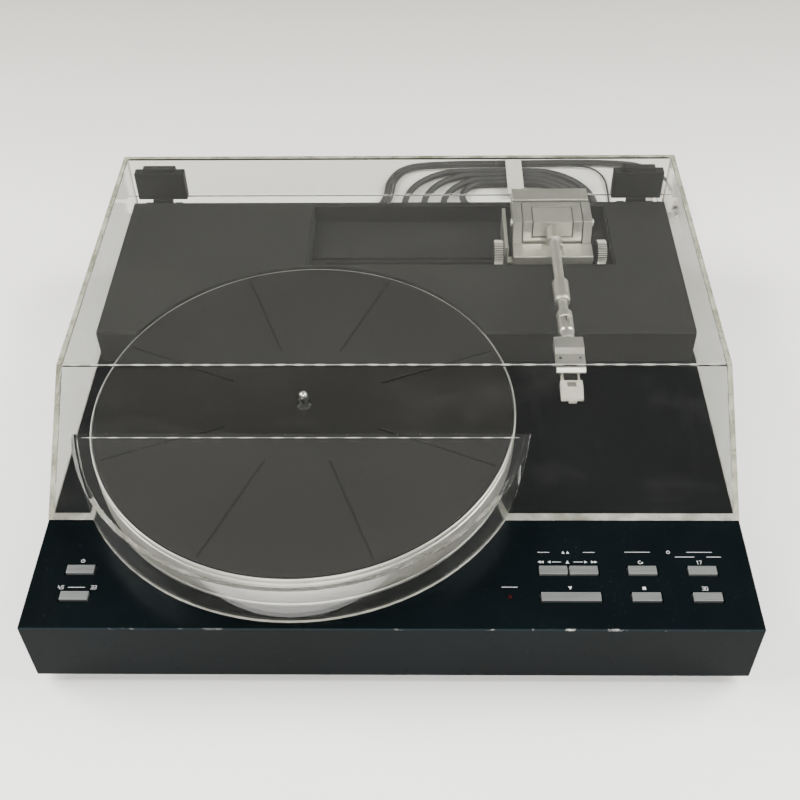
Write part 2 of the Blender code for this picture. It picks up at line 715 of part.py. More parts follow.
def build_arm(slide):
    lift = empty("lift_axis", (ARM_X, back(PIVOT_BACK), ARM_Z), slide)
    pivot = lift.matrix_world.translation.copy()
    rail = [
        (0.3675, 0.1000),
        (0.3675, YOKE_TOP_Z),
        (RIDGE_BACK + 0.0002, YOKE_TOP_Z),
        (0.3388, 0.1040),
        (0.3388, 0.0960),
        (0.3430, 0.0960),
    ]
    frame = prism(rail, "X", *at_arm(-GIMBAL_HALF, GIMBAL_HALF))
    gimbal = solid("arm_gimbal", frame, "satin_aluminium", pivot, lift)
    cut(gimbal, box(at_arm(-0.0165, 0.0165), (0.3425, 0.3615), (0.090, 0.125)))
    cut(gimbal, box(at_arm(-0.0165, 0.0165), (0.330, 0.3430), (0.1040, 0.125)))
    cut(gimbal, disc(0.0048, (ARM_X, 0.355, SHAFT_Z), 0.020, (0, 1, 0), 20))

    swing = empty("swing_axis", pivot, lift)
    body = [
        (0.3607, YOKE_TOP_Z),
        (RIDGE_BACK + 0.0002, YOKE_TOP_Z),
        (0.3396, 0.1050),
        (0.3607, 0.1050),
    ]
    block = prism(body, "X", *at_arm(-BLOCK_HALF, BLOCK_HALF))
    arm_block = solid("arm_block", block, "satin_aluminium", pivot, swing)
    join(arm_block, box(at_arm(-0.012, 0.012), (0.3445, 0.3595), (0.0990, 0.1060)))
    join(arm_block, disc(SHAFT_RADIUS, (ARM_X, 0.3595, SHAFT_Z), 0.0270, (0, 1, 0), 20, 0.0004))

    tube_profile = [
        (0, 0),
        (0.0056, 0),
        (0.0056, 0.0146),
        (0.0060, 0.0149),
        (0.0060, 0.0158),
        (0.0038, 0.0168),
        (0.0038, 0.0656),
        (0.0058, 0.0657),
        (0.0063, 0.0665),
        (0.0063, 0.0878),
        (0.0056, 0.0887),
        (0.0036, 0.0890),
        (0.0036, 0.1008),
        (0.0056, 0.1010),
        (0.0060, 0.1018),
        (0.0060, 0.1080),
        (0.0054, 0.1086),
        (0.0060, 0.1092),
        (0.0060, 0.1215),
        (0.0053, 0.1228),
        (0.0053, 0.1302),
        (0, 0.1302),
    ]
    start = (ARM_X, TUBE_BACK, ARM_Z)
    solid("arm_tube", turned(tube_profile, start, (0, -1, 0), 20), "satin_aluminium", pivot, swing, True)

    shell = [
        (0.2086, 0.1075),
        (0.2086, 0.1165),
        (0.1972, 0.1165),
        (0.1935, 0.1137),
        (0.1815, 0.1137),
        (0.1788, 0.1112),
        (0.1788, 0.1100),
        (0.2000, 0.1100),
        (0.2015, 0.1075),
    ]
    clamp = prism(shell, "X", *at_arm(-HEADSHELL_HALF, HEADSHELL_HALF))
    solid("headshell", clamp, "satin_aluminium", pivot, swing)
    pickup = box(at_arm(-CARTRIDGE_HALF, CARTRIDGE_HALF), (0.1842, 0.1995), (0.1010, 0.1097), 0.0004, 1)
    cartridge = solid("cartridge", pickup, "black_plastic", pivot, swing)
    join(cartridge, box(at_arm(-0.0045, 0.0045), (0.1762, 0.1850), (0.1015, 0.1080)))
    holder_side = [
        (0.1758, 0.1003),
        (0.1758, 0.1065),
        (0.1690, 0.1065),
        (0.1612, 0.1022),
        (0.1612, 0.1003),
    ]
    holder = solid("stylus_holder", prism(holder_side, "X", *at_arm(-0.0078, 0.0078)), "ivory", pivot, swing)
    for low, high in ((-0.0065, -0.0050), (0.0050, 0.0065)):
        join(holder, box(at_arm(low, high), (0.1750, 0.1838), (0.1020, 0.1058)))
    join(holder, box(at_arm(-0.0028, 0.0028), (0.1588, 0.1620), (0.1006, 0.1028)))
    tip = turned([(0, 0), (0.0007, 0.0019), (0, 0.0019)], (ARM_X, PLATTER_BACK, 0.0988), segments=8)
    join(holder, tip)

    weight = solid(
        "counterweight",
        box(at_arm(-WEIGHT_HALF, WEIGHT_HALF), WEIGHT_BACK, (0.0995, YOKE_TOP_Z), 0.0005, 1),
        "satin_aluminium",
        (ARM_X, back(0.3790), SHAFT_Z),
        swing,
    )
    cut(weight, disc(SHAFT_RADIUS + GAP, (ARM_X, 0.365, SHAFT_Z), 0.030, (0, 1, 0), 20))


# Dust cover


def cover_side(inset, floor_z):
    """The cover's side outline, with its sloping front, top and rear moved in by inset."""
    run = FOLD_BACK - COVER_FRONT
    rise = COVER_TOP_Z - DECK_Z - GAP
    steep = rise / run
    along = inset * math.hypot(run, rise) / rise
    top = COVER_TOP_Z - inset
    foot = COVER_FRONT + along + (floor_z - DECK_Z - GAP) / steep
    fold = COVER_FRONT + along + (top - DECK_Z - GAP) / steep
    return [(foot, floor_z), (fold, top), (DEPTH - inset, top)]


def build_cover():
    half = WIDTH / 2
    axis_place = (0, back(HINGE_BACK), HINGE_Z)
    swing = empty("cover_axis", axis_place)
    floor_z = DECK_Z + GAP
    start = -math.degrees(math.acos((DEPTH - HINGE_BACK) / COVER_CORNER_RADIUS))
    corner = arc((HINGE_BACK, HINGE_Z), COVER_CORNER_RADIUS, start, -90, 6)
    outline = cover_side(0.0, floor_z) + corner + [(HINGE_BACK - 0.003, floor_z)]
    cover = solid("dust_cover", prism(outline, "X", -half, half), "clear_acrylic", axis_place, swing)
    centre = (PLATTER_X, PLATTER_BACK, floor_z)
    join(cover, disc(BULGE_RADIUS, centre, BULGE_TOP_Z - floor_z, segments=96))
    below = floor_z - 0.01
    under_wall = COVER_REAR_Z - 0.001
    beyond = DEPTH + 0.001
    inner = cover_side(COVER, below)
    inner += [(DEPTH - COVER, under_wall), (beyond, under_wall), (beyond, below)]
    inside = solid("dust_cover_inside", prism(inner, "X", -half + COVER, half - COVER), "clear_acrylic")
    well = (PLATTER_X, PLATTER_BACK, below)
    join(inside, disc(BULGE_RADIUS - COVER, well, BULGE_TOP_Z - BULGE_PLATE - below, segments=96))
    inside.hide_render = True
    inside.display_type = "WIRE"
    hollowing = cover.modifiers.new("hollow", "BOOLEAN")
    hollowing.operation = "DIFFERENCE"
    hollowing.object = inside
    for side, sign in (("left", -1), ("right", 1)):
        build_hinge(side, sign, swing, axis_place)


def build_hinge(side, sign, swing, axis_place):
    def across(low, high):
        return tuple(sorted((sign * low, sign * high)))

    rear = DEPTH - COVER - GAP
    leaf = solid(
        f"hinge_leaf_{side}",
        box(across(*LEAF_X), (LEAF_FRONT, rear), LEAF_Z, 0.0005, 1),
        "black_plastic",
        axis_place,
        swing,
    )
    join(leaf, box(across(*LEAF_CAP_X), (0.4150, rear), (LEAF_Z[1] - 0.001, LEAF_CAP_Z)))
    join(leaf, box(across(*KNUCKLE_X), (0.4100, 0.4150), (HINGE_Z, 0.0900)))
    knuckle = min(across(*KNUCKLE_X))
    width = KNUCKLE_X[1] - KNUCKLE_X[0]
    join(leaf, disc(KNUCKLE_RADIUS, (knuckle, HINGE_BACK, HINGE_Z), width, (1, 0, 0), 20))
    bore = disc(HINGE_PIN_RADIUS + GAP, (knuckle - 0.01, HINGE_BACK, HINGE_Z), 0.040, (1, 0, 0), 16)
    cut(leaf, bore)
    base = solid(
        f"hinge_base_{side}",
        box(across(0.1835, 0.2250), (0.4042, 0.4240), (DECK_Z + GAP, 0.0660), 0.0003, 1),
        "black_plastic",
    )
    ear = [
        (0.4070, 0.0655),
        (0.4175, 0.0655),
        (0.4175, 0.0815),
        (0.4150, 0.0845),
        (0.4095, 0.0845),
        (0.4070, 0.0815),
    ]
    for low, high in ((0.1885, 0.1950), (0.2136, 0.2200)):
        join(base, prism(ear, "X", *across(low, high)))
    start = min(across(0.1890, 0.2195))
    join(base, disc(HINGE_PIN_RADIUS, (start, HINGE_BACK, HINGE_Z), 0.0305, (1, 0, 0), 16))


# Leads


def smooth_route(points, step):
    """Points every step metres on a smooth curve through the route's own points."""
    route = [Vector(p) for p in points]
    route = [2 * route[0] - route[1], *route, 2 * route[-1] - route[-2]]
    fine = []
    for a, b, c, d in zip(route, route[1:], route[2:], route[3:]):
        for i in range(24):
            t = i / 24
            square = (2 * a - 5 * b + 4 * c - d) * t**2
            cube = (3 * b - a - 3 * c + d) * t**3
            fine.append(0.5 * ((2 * b) + (c - a) * t + square + cube))
    fine.append(route[-2])
    length = sum((q - p).length for p, q in zip(fine, fine[1:]))
    count = max(8, round(length / step))
    even = [fine[0]]
    walked = 0.0
    for p, q in zip(fine, fine[1:]):
        leg = (q - p).length
        while len(even) < count and walked + leg >= len(even) * length / count:
            even.append(p.lerp(q, (len(even) * length / count - walked) / leg))
        walked += leg
    even.append(fine[-1])
    return even


def beside(route, offset):
    """The route moved sideways, to the left of the way it runs, in the plane of the table."""
    moved = []
    for i, point in enumerate(route):
        ahead = route[min(i + 1, len(route) - 1)] - route[max(i - 1, 0)]
        left = Vector((-ahead.y, ahead.x, 0)).normalized()
        moved.append(point + left * offset)
    return moved


def lead(name, route, radius, finish, resolution=2):
    curve = bpy.data.curves.new(name, "CURVE")
    curve.dimensions = "3D"
    curve.bevel_depth = radius
    curve.bevel_resolution = resolution
    curve.use_fill_caps = True
    spline = curve.splines.new("POLY")
    spline.points.add(len(route) - 1)
    for slot, point in zip(spline.points, route):
        slot.co = (*point, 1.0)
    curve.materials.append(material(finish))
    obj = bpy.data.objects.new(name, curve)
    bpy.context.scene.collection.objects.link(obj)
    return obj


# The way the phono leads lie: out of their gland, left behind the plinth, back and round the hank.
PHONO_ROUTE = [
    (-0.0400, 0.4458, 0.0205),
    (-0.0400, 0.4560, 0.0195),
    (-0.0450, 0.4660, 0.0130),
    (-0.0600, 0.4710, 0.0055),
    (-0.0900, 0.4700, 0.0030),
    (-0.1500, 0.4680, 0.0030),
    (-0.1850, 0.4690, 0.0030),
    (-0.2000, 0.4840, 0.0030),
    (-0.1880, 0.5010, 0.0030),
    (-0.1500, 0.5040, 0.0030),
    (-0.1000, 0.5010, 0.0030),
    (-0.0550, 0.5020, 0.0030),
    (-0.0250, 0.5110, 0.0030),
    (-0.0135, 0.5320, 0.0030),
    (-0.0090, 0.5620, 0.0030),
    (0.0070, 0.5830, 0.0030),
    (0.0480, 0.5895, 0.0030),
    (0.1127, 0.5905, 0.0030),
    (0.1700, 0.5915, 0.0030),
]
WHITE_END = [
    (0.2080, 0.5945, 0.0030),
    (0.2400, 0.5890, 0.0032),
    (0.2590, 0.5700, 0.0045),
    (0.2680, 0.5500, 0.0058),
    (0.2692, 0.5353, 0.0062),
]
RED_END = [
    (0.2050, 0.5900, 0.0030),
    (0.2330, 0.5840, 0.0035),
    (0.2470, 0.5720, 0.0050),
    (0.2500, 0.5563, 0.0062),
]
GROUND_END = [
    (0.1880, 0.5860, 0.0024),
    (0.1985, 0.5790, 0.0018),
    (0.2045, 0.5640, 0.0016),
    (0.2050, 0.5400, 0.0016),
    (0.2040, 0.5200, 0.0016),
]
MAINS_ROUTE = [
    (0.1890, 0.4458, 0.0205),
    (0.1890, 0.4510, 0.0202),
    (0.1890, 0.4590, 0.0168),
    (0.1890, 0.4680, 0.0115),
    (0.1890, 0.4770, 0.0072),
    (0.1890, 0.4888, 0.0052),
]


def world(points):
    return [Vector((x, back(y), z)) for x, y, z in points]


def build_leads():
    rear = DEPTH + GAP
    for name, x, hole, tip in (
        ("mains_gland", MAINS_X, GLAND_HOLE, 0.0042),
        ("phono_gland", PHONO_X, PHONO_HOLE, 0.0068),
    ):
        r = hole - GAP
        profile = [
            (0, -PANEL - 0.004),
            (r + 0.0006, -PANEL - 0.004),
            (r + 0.0006, -PANEL - 2 * GAP),
            (r, -PANEL - 2 * GAP),
            (r, 0),
            (r + 0.0010, 0),
            (r + 0.0010, 0.0012),
            (r, 0.0020),
            (tip, GLAND_LENGTH - 0.0003),
            (0, GLAND_LENGTH - 0.0003),
        ]
        solid(name, turned(profile, (x, rear, GLAND_Z), (0, 1, 0), 14), "rubber", smooth=True)

    lead("mains_cord", smooth_route(world(MAINS_ROUTE), 0.004), MAINS_RADIUS, "rubber", 3)
    hank = solid("mains_hank", prism(stadium(HANK_X, HANK_BACK, 20), "Z", *HANK_Z), "rubber")
    cut(hank, prism(stadium(HANK_HOLE_X, HANK_HOLE_BACK, 12), "Z", 0, 0.03))
    build_mains_plug()

    shared = smooth_route(world(PHONO_ROUTE), ROUTE_STEP)
    side = 0.0041
    for name, offset, end, radius in (
        ("phono_cord_white", side, WHITE_END, PHONO_RADIUS),
        ("phono_cord_red", 0.0, RED_END, PHONO_RADIUS),
        ("ground_wire", -0.0035, GROUND_END, GROUND_RADIUS),
    ):
        own = beside(shared, offset)
        tail = smooth_route([*own[-3:], *world(end)], ROUTE_STEP)
        lead(name, own[:-3] + tail, radius, "rubber")
    build_phono_plugs()

    tie = solid("cord_tie", box(TIE_X, TIE_BACK, TIE_Z, 0.0003, 1), "tape")
    wall = 0.0012
    sheet = 0.0006
    hollow_back = (TIE_BACK[0] + wall, TIE_BACK[1] - wall)
    hollow_z = (TIE_Z[0] + sheet, TIE_Z[1] - sheet)
    cut(tie, box((TIE_X[0] - wall, TIE_X[1] + wall), hollow_back, hollow_z))


def build_mains_plug():
    """A two-pin plug lying inside the hank, its strain relief to the left and its pins to the right."""
    half_width, half_height = PLUG_HALF
    z = HANK_Z[0] + half_height
    across = (PLUG_BACK - half_width, PLUG_BACK + half_width)
    grip = box(PLUG_X, across, (z - half_height, z + half_height), 0.003, 2)
    plug = solid("mains_plug", grip, "rubber")
    relief = [(0, 0), (0.0040, 0), (0.0058, 0.0200), (0, 0.0200)]
    join(plug, turned(relief, (0.0900, PLUG_BACK, z), (1, 0, 0), 16))
    for offset in PIN_OFFSETS:
        pin = (PLUG_BACK + offset - 0.0008, PLUG_BACK + offset + 0.0008)
        join(plug, box((0.1410, 0.1580), pin, (z - 0.003, z + 0.003)))


def build_phono_plugs():
    profile = [
        (0, 0),
        (0.0026, 0),
        (0.0034, 0.0090),
        (0.0052, 0.0105),
        (0.0055, 0.0120),
        (0.0055, 0.0270),
        (0.0047, 0.0275),
        (0.0047, 0.0330),
        (0.0016, 0.0331),
        (0.0016, 0.0400),
        (0, 0.0410),
    ]
    for name, start, heading, finish in (
        ("phono_plug_white", (0.2692, 0.5350, 0.0062), (-0.03, -1, 0), "ivory"),
        ("phono_plug_red", (0.2500, 0.5560, 0.0062), (0.04, -1, 0), "red_plastic"),
    ):
        solid(name, turned(profile, start, heading, 12), finish, smooth=True)


clear_scene()
build_plinth()
build_feet()
build_inside()
build_buttons()
build_platter()
build_housing()
build_trough()
build_arm_drive()
carriage_slide = build_carriage()
build_arm(carriage_slide)
build_cover()
build_leads()
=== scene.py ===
"""Fine surfaces, leads, markings and finishes of a record player with a sliding arm and a clear cover."""

import json
import math

import bmesh
import bpy
import numpy as np
from bpy.props import FloatProperty, FloatVectorProperty, IntProperty, PointerProperty
from mathutils import Matrix, Vector

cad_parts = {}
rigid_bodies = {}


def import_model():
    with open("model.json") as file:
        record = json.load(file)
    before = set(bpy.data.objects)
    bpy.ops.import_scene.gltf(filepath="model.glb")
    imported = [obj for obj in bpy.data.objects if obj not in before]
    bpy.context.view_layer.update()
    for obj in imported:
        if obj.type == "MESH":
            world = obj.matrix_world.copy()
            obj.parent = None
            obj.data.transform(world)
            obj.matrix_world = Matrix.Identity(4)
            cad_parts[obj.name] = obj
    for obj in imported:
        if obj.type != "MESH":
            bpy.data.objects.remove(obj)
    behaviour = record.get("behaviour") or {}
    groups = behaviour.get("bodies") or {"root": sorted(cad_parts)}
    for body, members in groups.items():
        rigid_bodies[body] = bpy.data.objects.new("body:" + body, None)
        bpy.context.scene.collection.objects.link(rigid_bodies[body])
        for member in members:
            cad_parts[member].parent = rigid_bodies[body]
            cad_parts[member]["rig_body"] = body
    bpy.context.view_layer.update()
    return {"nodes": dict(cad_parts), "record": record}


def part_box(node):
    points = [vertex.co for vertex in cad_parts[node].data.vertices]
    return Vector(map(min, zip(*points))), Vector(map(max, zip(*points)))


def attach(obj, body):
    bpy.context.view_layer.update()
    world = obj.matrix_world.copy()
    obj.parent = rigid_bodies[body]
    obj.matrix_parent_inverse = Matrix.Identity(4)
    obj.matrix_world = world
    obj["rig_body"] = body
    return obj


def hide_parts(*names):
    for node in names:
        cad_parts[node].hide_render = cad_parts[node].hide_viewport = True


bl_info = {
    "name": "Record player",
    "version": (1, 0, 0),
    "blender": (4, 5, 0),
    "location": "3D View > Sidebar > Player",
    "description": "Builds the fine surfaces and finishes of a record player round its packed frame",
    "category": "Object",
}

for old in list(bpy.data.objects):
    bpy.data.objects.remove(old, do_unlink=True)
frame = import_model()
SLOT_OF = {row["node"]: row["material_slot"] for row in frame["record"]["subparts"]}

SHELL_LOW, SHELL_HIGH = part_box("plinth_shell")
FRONT_Y = SHELL_LOW.y
DECK_Z = SHELL_HIGH.z
PLATTER_LOW, PLATTER_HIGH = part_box("platter")
MAT_LOW, MAT_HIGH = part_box("platter_mat")
COVER_SHEET = 0.0035
PLATTER_AT = (
    (PLATTER_LOW.x + PLATTER_HIGH.x) / 2,
    (PLATTER_LOW.y + PLATTER_HIGH.y) / 2,
)
PLATTER_RADIUS = (PLATTER_HIGH.x - PLATTER_LOW.x) / 2
MAT_RADIUS = (MAT_HIGH.x - MAT_LOW.x) / 2
TUBE_LOW, TUBE_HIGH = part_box("arm_tube")
ARM_X = (TUBE_LOW.x + TUBE_HIGH.x) / 2
ARM_Z = (TUBE_LOW.z + TUBE_HIGH.z) / 2
MERGE_GAP = 2e-6
FLAT_ANGLE = math.radians(0.6)
SHARP_DEGREES = 32
AXIS_GAP = 0.0001  # radius at which a solid turned profile stops short of its axis
UP = (0, 0, 1)


def behind(distance):
    """World Y of a point this far behind the plinth's front face."""
    return FRONT_Y + distance


# Settings that a user would change


class PlayerSizes(bpy.types.PropertyGroup):
    """Sizes of the mat's grooves, the dials, the print and the leads."""

    groove_count: IntProperty(name="Mat grooves", description="Grooves in the mat", default=8, min=1)
    groove_width: FloatProperty(
        name="Groove width", description="Width of a groove in the mat", default=0.0018, unit="LENGTH"
    )
    groove_depth: FloatProperty(
        name="Groove depth", description="Depth of a groove in the mat", default=0.0014, unit="LENGTH"
    )
    groove_start: FloatProperty(
        name="Groove start",
        description="Distance from the spindle's axis to a groove",
        default=0.0575,
        unit="LENGTH",
    )
    groove_turn: FloatProperty(
        name="Groove turn",
        description="Angle of the first groove",
        default=math.radians(21.5),
        subtype="ANGLE",
    )
    dial_teeth: IntProperty(name="Dial ridges", description="Ridges round each arm dial", default=40, min=8)
    mark_lift: FloatProperty(
        name="Print thickness", description="Thickness of the printed marks", default=0.00006, unit="LENGTH"
    )
    edge: FloatProperty(
        name="Edge rounding", description="Rounding of machined edges", default=0.0004, unit="LENGTH"
    )
    mains_length: FloatProperty(
        name="Mains lead", description="Length of the mains lead", default=1.60, unit="LENGTH"
    )


class PlayerColours(bpy.types.PropertyGroup):
    """Colours of the player's materials and of the stage."""

    lacquer: FloatVectorProperty(
        name="Lacquer", description="Plinth lacquer", default=(0.0018, 0.0032, 0.0038), subtype="COLOR"
    )
    housing: FloatVectorProperty(
        name="Housing", description="Arm housing plastic", default=(0.0220, 0.0220, 0.0205), subtype="COLOR"
    )
    mat: FloatVectorProperty(
        name="Mat", description="Platter mat rubber", default=(0.0135, 0.0132, 0.0122), subtype="COLOR"
    )
    rubber: FloatVectorProperty(
        name="Rubber", description="Feet and sheaths", default=(0.016, 0.016, 0.017), subtype="COLOR"
    )
    aluminium: FloatVectorProperty(
        name="Aluminium", description="Polished platter side", default=(0.78, 0.77, 0.73), subtype="COLOR"
    )
    arm: FloatVectorProperty(
        name="Arm metal", description="Satin arm and carriage", default=(0.70, 0.69, 0.625), subtype="COLOR"
    )
    key: FloatVectorProperty(
        name="Keys", description="Key caps", default=(0.12, 0.127, 0.124), subtype="COLOR"
    )
    ivory: FloatVectorProperty(
        name="Ivory", description="Stylus holder and one plug", default=(0.78, 0.74, 0.66), subtype="COLOR"
    )
    print_ink: FloatVectorProperty(
        name="Print", description="Printed marks", default=(0.46, 0.47, 0.47), subtype="COLOR"
    )
    acrylic: FloatVectorProperty(
        name="Acrylic", description="Tint of the cover", default=(0.905, 0.910, 0.875), subtype="COLOR"
    )
    backdrop: FloatVectorProperty(
        name="Backdrop", description="Floor and backdrop", default=(0.90, 0.90, 0.885), subtype="COLOR"
    )


# Shader sums written as Python


class Socket:
    """One output of a shader node. Arithmetic on it adds Math nodes."""

    def __init__(self, finish, link):
        self.finish = finish
        self.link = link

    def math(self, operation, *values):
        return self.finish.node("ShaderNodeMath", {"operation": operation}, dict(enumerate(values)))

    def __add__(self, other):
        return self.math("ADD", self, other)

    def __sub__(self, other):
        return self.math("SUBTRACT", self, other)

    def __rsub__(self, other):
        return self.math("SUBTRACT", other, self)

    def __mul__(self, other):
        return self.math("MULTIPLY", self, other)

    def __abs__(self):
        return self.math("ABSOLUTE", self)

    def larger(self, other):
        return self.math("MAXIMUM", self, other)

    def root(self):
        return self.math("SQRT", self)

    def sine(self):
        return self.math("SINE", self)

    __radd__ = __add__
    __rmul__ = __mul__


# Places of the Mix node's colour sockets, which share their names with its other kinds of socket
MIX_SHARE, MIX_FIRST, MIX_SECOND, MIX_COLOUR = 0, 6, 7, 2


class Finish:
    """A material with one Principled shader, and the few patterns that feed it."""

    def __init__(self, name, **values):
        self.material = bpy.data.materials.new(name)
        self.material.use_nodes = True
        self.tree = self.material.node_tree
        self.shader = self.tree.nodes["Principled BSDF"]
        self.at = self.node("ShaderNodeTexCoord", output="Object")
        for socket, value in values.items():
            self.set(socket.replace("_", " "), value)

    def node(self, kind, settings=None, sockets=None, output=0):
        """Adds a node with its settings, then its values and links, and gives one of its outputs."""
        made = self.tree.nodes.new(kind)
        for name, value in (settings or {}).items():
            setattr(made, name, value)
        for key, value in (sockets or {}).items():
            self.feed(made.inputs[key], value)
        return Socket(self, made.outputs[output])

    def feed(self, socket, value):
        """Links a socket, or gives it a value."""
        if isinstance(value, Socket):
            self.tree.links.new(value.link, socket)
        else:
            socket.default_value = value

    def set(self, socket, value):
        """Sets or feeds one of the shader's own sockets."""
        self.feed(self.shader.inputs[socket], value)

    def stretched(self, scale):
        """Object coordinates stretched along the axes."""
        return self.node("ShaderNodeMapping", {}, {"Vector": self.at, "Scale": scale})

    def noise(self, scale, detail=3.0, where=None):
        sockets = {"Vector": where or self.at, "Scale": scale, "Detail": detail, "Roughness": 0.6}
        return self.node("ShaderNodeTexNoise", {}, sockets)

    def cloud(self, scale, detail=4.0, high=0.70):
        """Soft patches: a noise whose middle range is spread out to go from 0 to 1."""
        return self.step(self.noise(scale, detail), 0.35, high)

    def cells(self, scale, where=None):
        """Distance from the nearest of a field of scattered points, in cells."""
        return self.node("ShaderNodeTexVoronoi", {}, {"Vector": where or self.at, "Scale": scale})

    def step(self, value, low, high, start=0.0, end=1.0):
        """Rises from start to end as value goes from low to high."""
        sockets = {"Value": value, "From Min": low, "From Max": high, "To Min": start, "To Max": end}
        return self.node("ShaderNodeMapRange", {}, sockets)

    def blend(self, share, first, second):
        """A colour that goes from first to second as share goes from 0 to 1."""
        sockets = {MIX_SHARE: share}
        for index, colour in ((MIX_FIRST, first), (MIX_SECOND, second)):
            sockets[index] = colour if isinstance(colour, Socket) else (*colour[:3], 1.0)
        return self.node("ShaderNodeMix", {"data_type": "RGBA"}, sockets, output=MIX_COLOUR)

    def attribute(self, name):
        return self.node("ShaderNodeAttribute", {"attribute_name": name}, output="Fac")

    def mixed(self, share, first, second):
        """A surface that goes from the first to the second."""
        return self.node("ShaderNodeMixShader", {}, {0: share, 1: first, 2: second})

    def matt(self, colour):
        return self.node("ShaderNodeBsdfDiffuse", {}, {"Color": colour})

    def output(self, surface):
        self.tree.links.new(surface.link, self.tree.nodes["Material Output"].inputs["Surface"])

    def axis(self, letter):
        return self.node("ShaderNodeSeparateXYZ", {}, {0: self.at}, output=letter)

    def bump(self, height, depth, strength=1.0):
        sockets = {"Height": height, "Distance": depth, "Strength": strength}
        self.set("Normal", self.node("ShaderNodeBump", {}, sockets))

    def colour(self, name):
        return tuple(getattr(bpy.context.scene.player_colours, name))


def scaled(colour, factor):
    """A lighter or darker tone of a colour."""
    return tuple(channel * factor for channel in colour[:3])


def lacquer():
    """Satin black lacquer with wiping haze, dust, chips along the front top edge, and a painted highlight
    along that edge.
    """
    finish = Finish("satin_black_lacquer", IOR=1.45, Specular_IOR_Level=0.04)
    base = finish.colour("lacquer")
    haze = finish.noise(9.0, 5.0)
    wiped = finish.noise(55.0, 4.0, finish.stretched((1.0, 0.25, 1.0)))
    dust = finish.step(finish.cells(520.0), 0.10, 0.04) * finish.step(finish.noise(60.0), 0.50, 0.62)
    from_front = abs(finish.axis("Y") - SHELL_LOW.y)
    from_deck = abs(finish.axis("Z") - SHELL_HIGH.z)
    edge = finish.step(from_front.larger(from_deck), 0.0011, 0.0004)
    worn_side = finish.step(finish.axis("X"), 0.02, 0.12, 0.15, 1.0)
    flakes = finish.noise(150.0, 5.0, finish.stretched((0.5, 1.0, 1.0)))
    chipped = edge * finish.step(flakes, 0.60, 0.66) * worn_side
    tone = finish.blend(finish.step(haze, 0.35, 0.70), scaled(base, 0.85), scaled(base, 1.35))
    # Painted highlight: the band along the front top edge is lightened. The chips on it are real wear.
    tone = finish.blend(edge * 0.5, tone, scaled(base, 9.0))
    tone = finish.blend(dust * 0.35, tone, (0.25, 0.25, 0.24))
    finish.set("Base Color", finish.blend(chipped, tone, (0.55, 0.55, 0.52)))
    finish.set("Roughness", finish.step(wiped, 0.30, 0.75, 0.20, 0.30))
    finish.bump(finish.noise(1500.0, 2.0), 0.000004)
    return finish.material


def black_plastic():
    """Dark grey moulded plastic with a fine sprayed grain and a little dust."""
    finish = Finish("dark_moulded_plastic", IOR=1.46, Specular_IOR_Level=0.15)
    base = finish.colour("housing")
    cloud = finish.cloud(14.0, 5.0)
    dust = finish.step(finish.cells(460.0), 0.12, 0.05) * finish.step(finish.noise(45.0), 0.50, 0.60)
    tone = finish.blend(cloud, scaled(base, 0.90), scaled(base, 1.12))
    finish.set("Base Color", finish.blend(dust * 0.5, tone, (0.22, 0.22, 0.21)))
    finish.set("Roughness", finish.step(cloud, 0.0, 1.0, 0.52, 0.62))
    finish.bump(finish.noise(2600.0, 2.0), 0.00003)
    return finish.material


def rubber():
    """Black rubber, a little cloudy."""
    finish = Finish("dark_rubber", IOR=1.5)
    base = finish.colour("rubber")
    cloud = finish.cloud(40.0)
    finish.set("Base Color", finish.blend(cloud, scaled(base, 0.8), scaled(base, 1.5)))
    finish.set("Roughness", finish.step(cloud, 0.0, 1.0, 0.50, 0.66))
    finish.bump(finish.noise(1800.0, 3.0), 0.00004)
    return finish.material


def mat_rubber():
    """Greyish rubber, a little greyer where dust lies, with a faint moulded grain, and painted shade on the
    groove floors.
    """
    finish = Finish("grey_mat_rubber", IOR=1.45, Specular_IOR_Level=0.12)
    base = finish.colour("mat")
    cloud = finish.cloud(11.0, 6.0)
    dust = finish.step(finish.cells(380.0), 0.13, 0.05) * finish.step(finish.noise(38.0), 0.50, 0.60)
    # Painted shade: the groove floors are darkened nearly to black, deeper down more.
    sunk = finish.step(finish.axis("Z"), MAT_HIGH.z - 0.0002, MAT_HIGH.z - 0.0008)
    tone = finish.blend(cloud, scaled(base, 0.90), scaled(base, 1.10))
    tone = finish.blend(sunk, tone, scaled(base, 0.05))
    finish.set("Base Color", finish.blend(dust * 0.5, tone, (0.30, 0.29, 0.27)))
    finish.set("Roughness", finish.step(cloud, 0.0, 1.0, 0.66, 0.78))
    finish.bump(finish.noise(1300.0, 3.0), 0.00005)
    return finish.material


def platter_metal():
    """Polished aluminium with fine rings from turning."""
    finish = Finish("turned_aluminium", Metallic=0.60)
    base = finish.colour("aluminium")
    across = finish.axis("X") - PLATTER_AT[0]
    along = finish.axis("Y") - PLATTER_AT[1]
    radius = (across * across + along * along).root()
    rings = finish.node("ShaderNodeCombineXYZ", {}, {0: radius, 1: finish.axis("Z")})
    cut = finish.noise(5200.0, 3.0, rings)
    stain = finish.cloud(22.0, 5.0, 0.72)
    finish.set("Base Color", finish.blend(stain, base, scaled(base, 0.86)))
    finish.set("Roughness", finish.step(stain, 0.0, 1.0, 0.30, 0.38) + cut * 0.06)
    finish.bump(cut, 0.000012)
    return finish.material


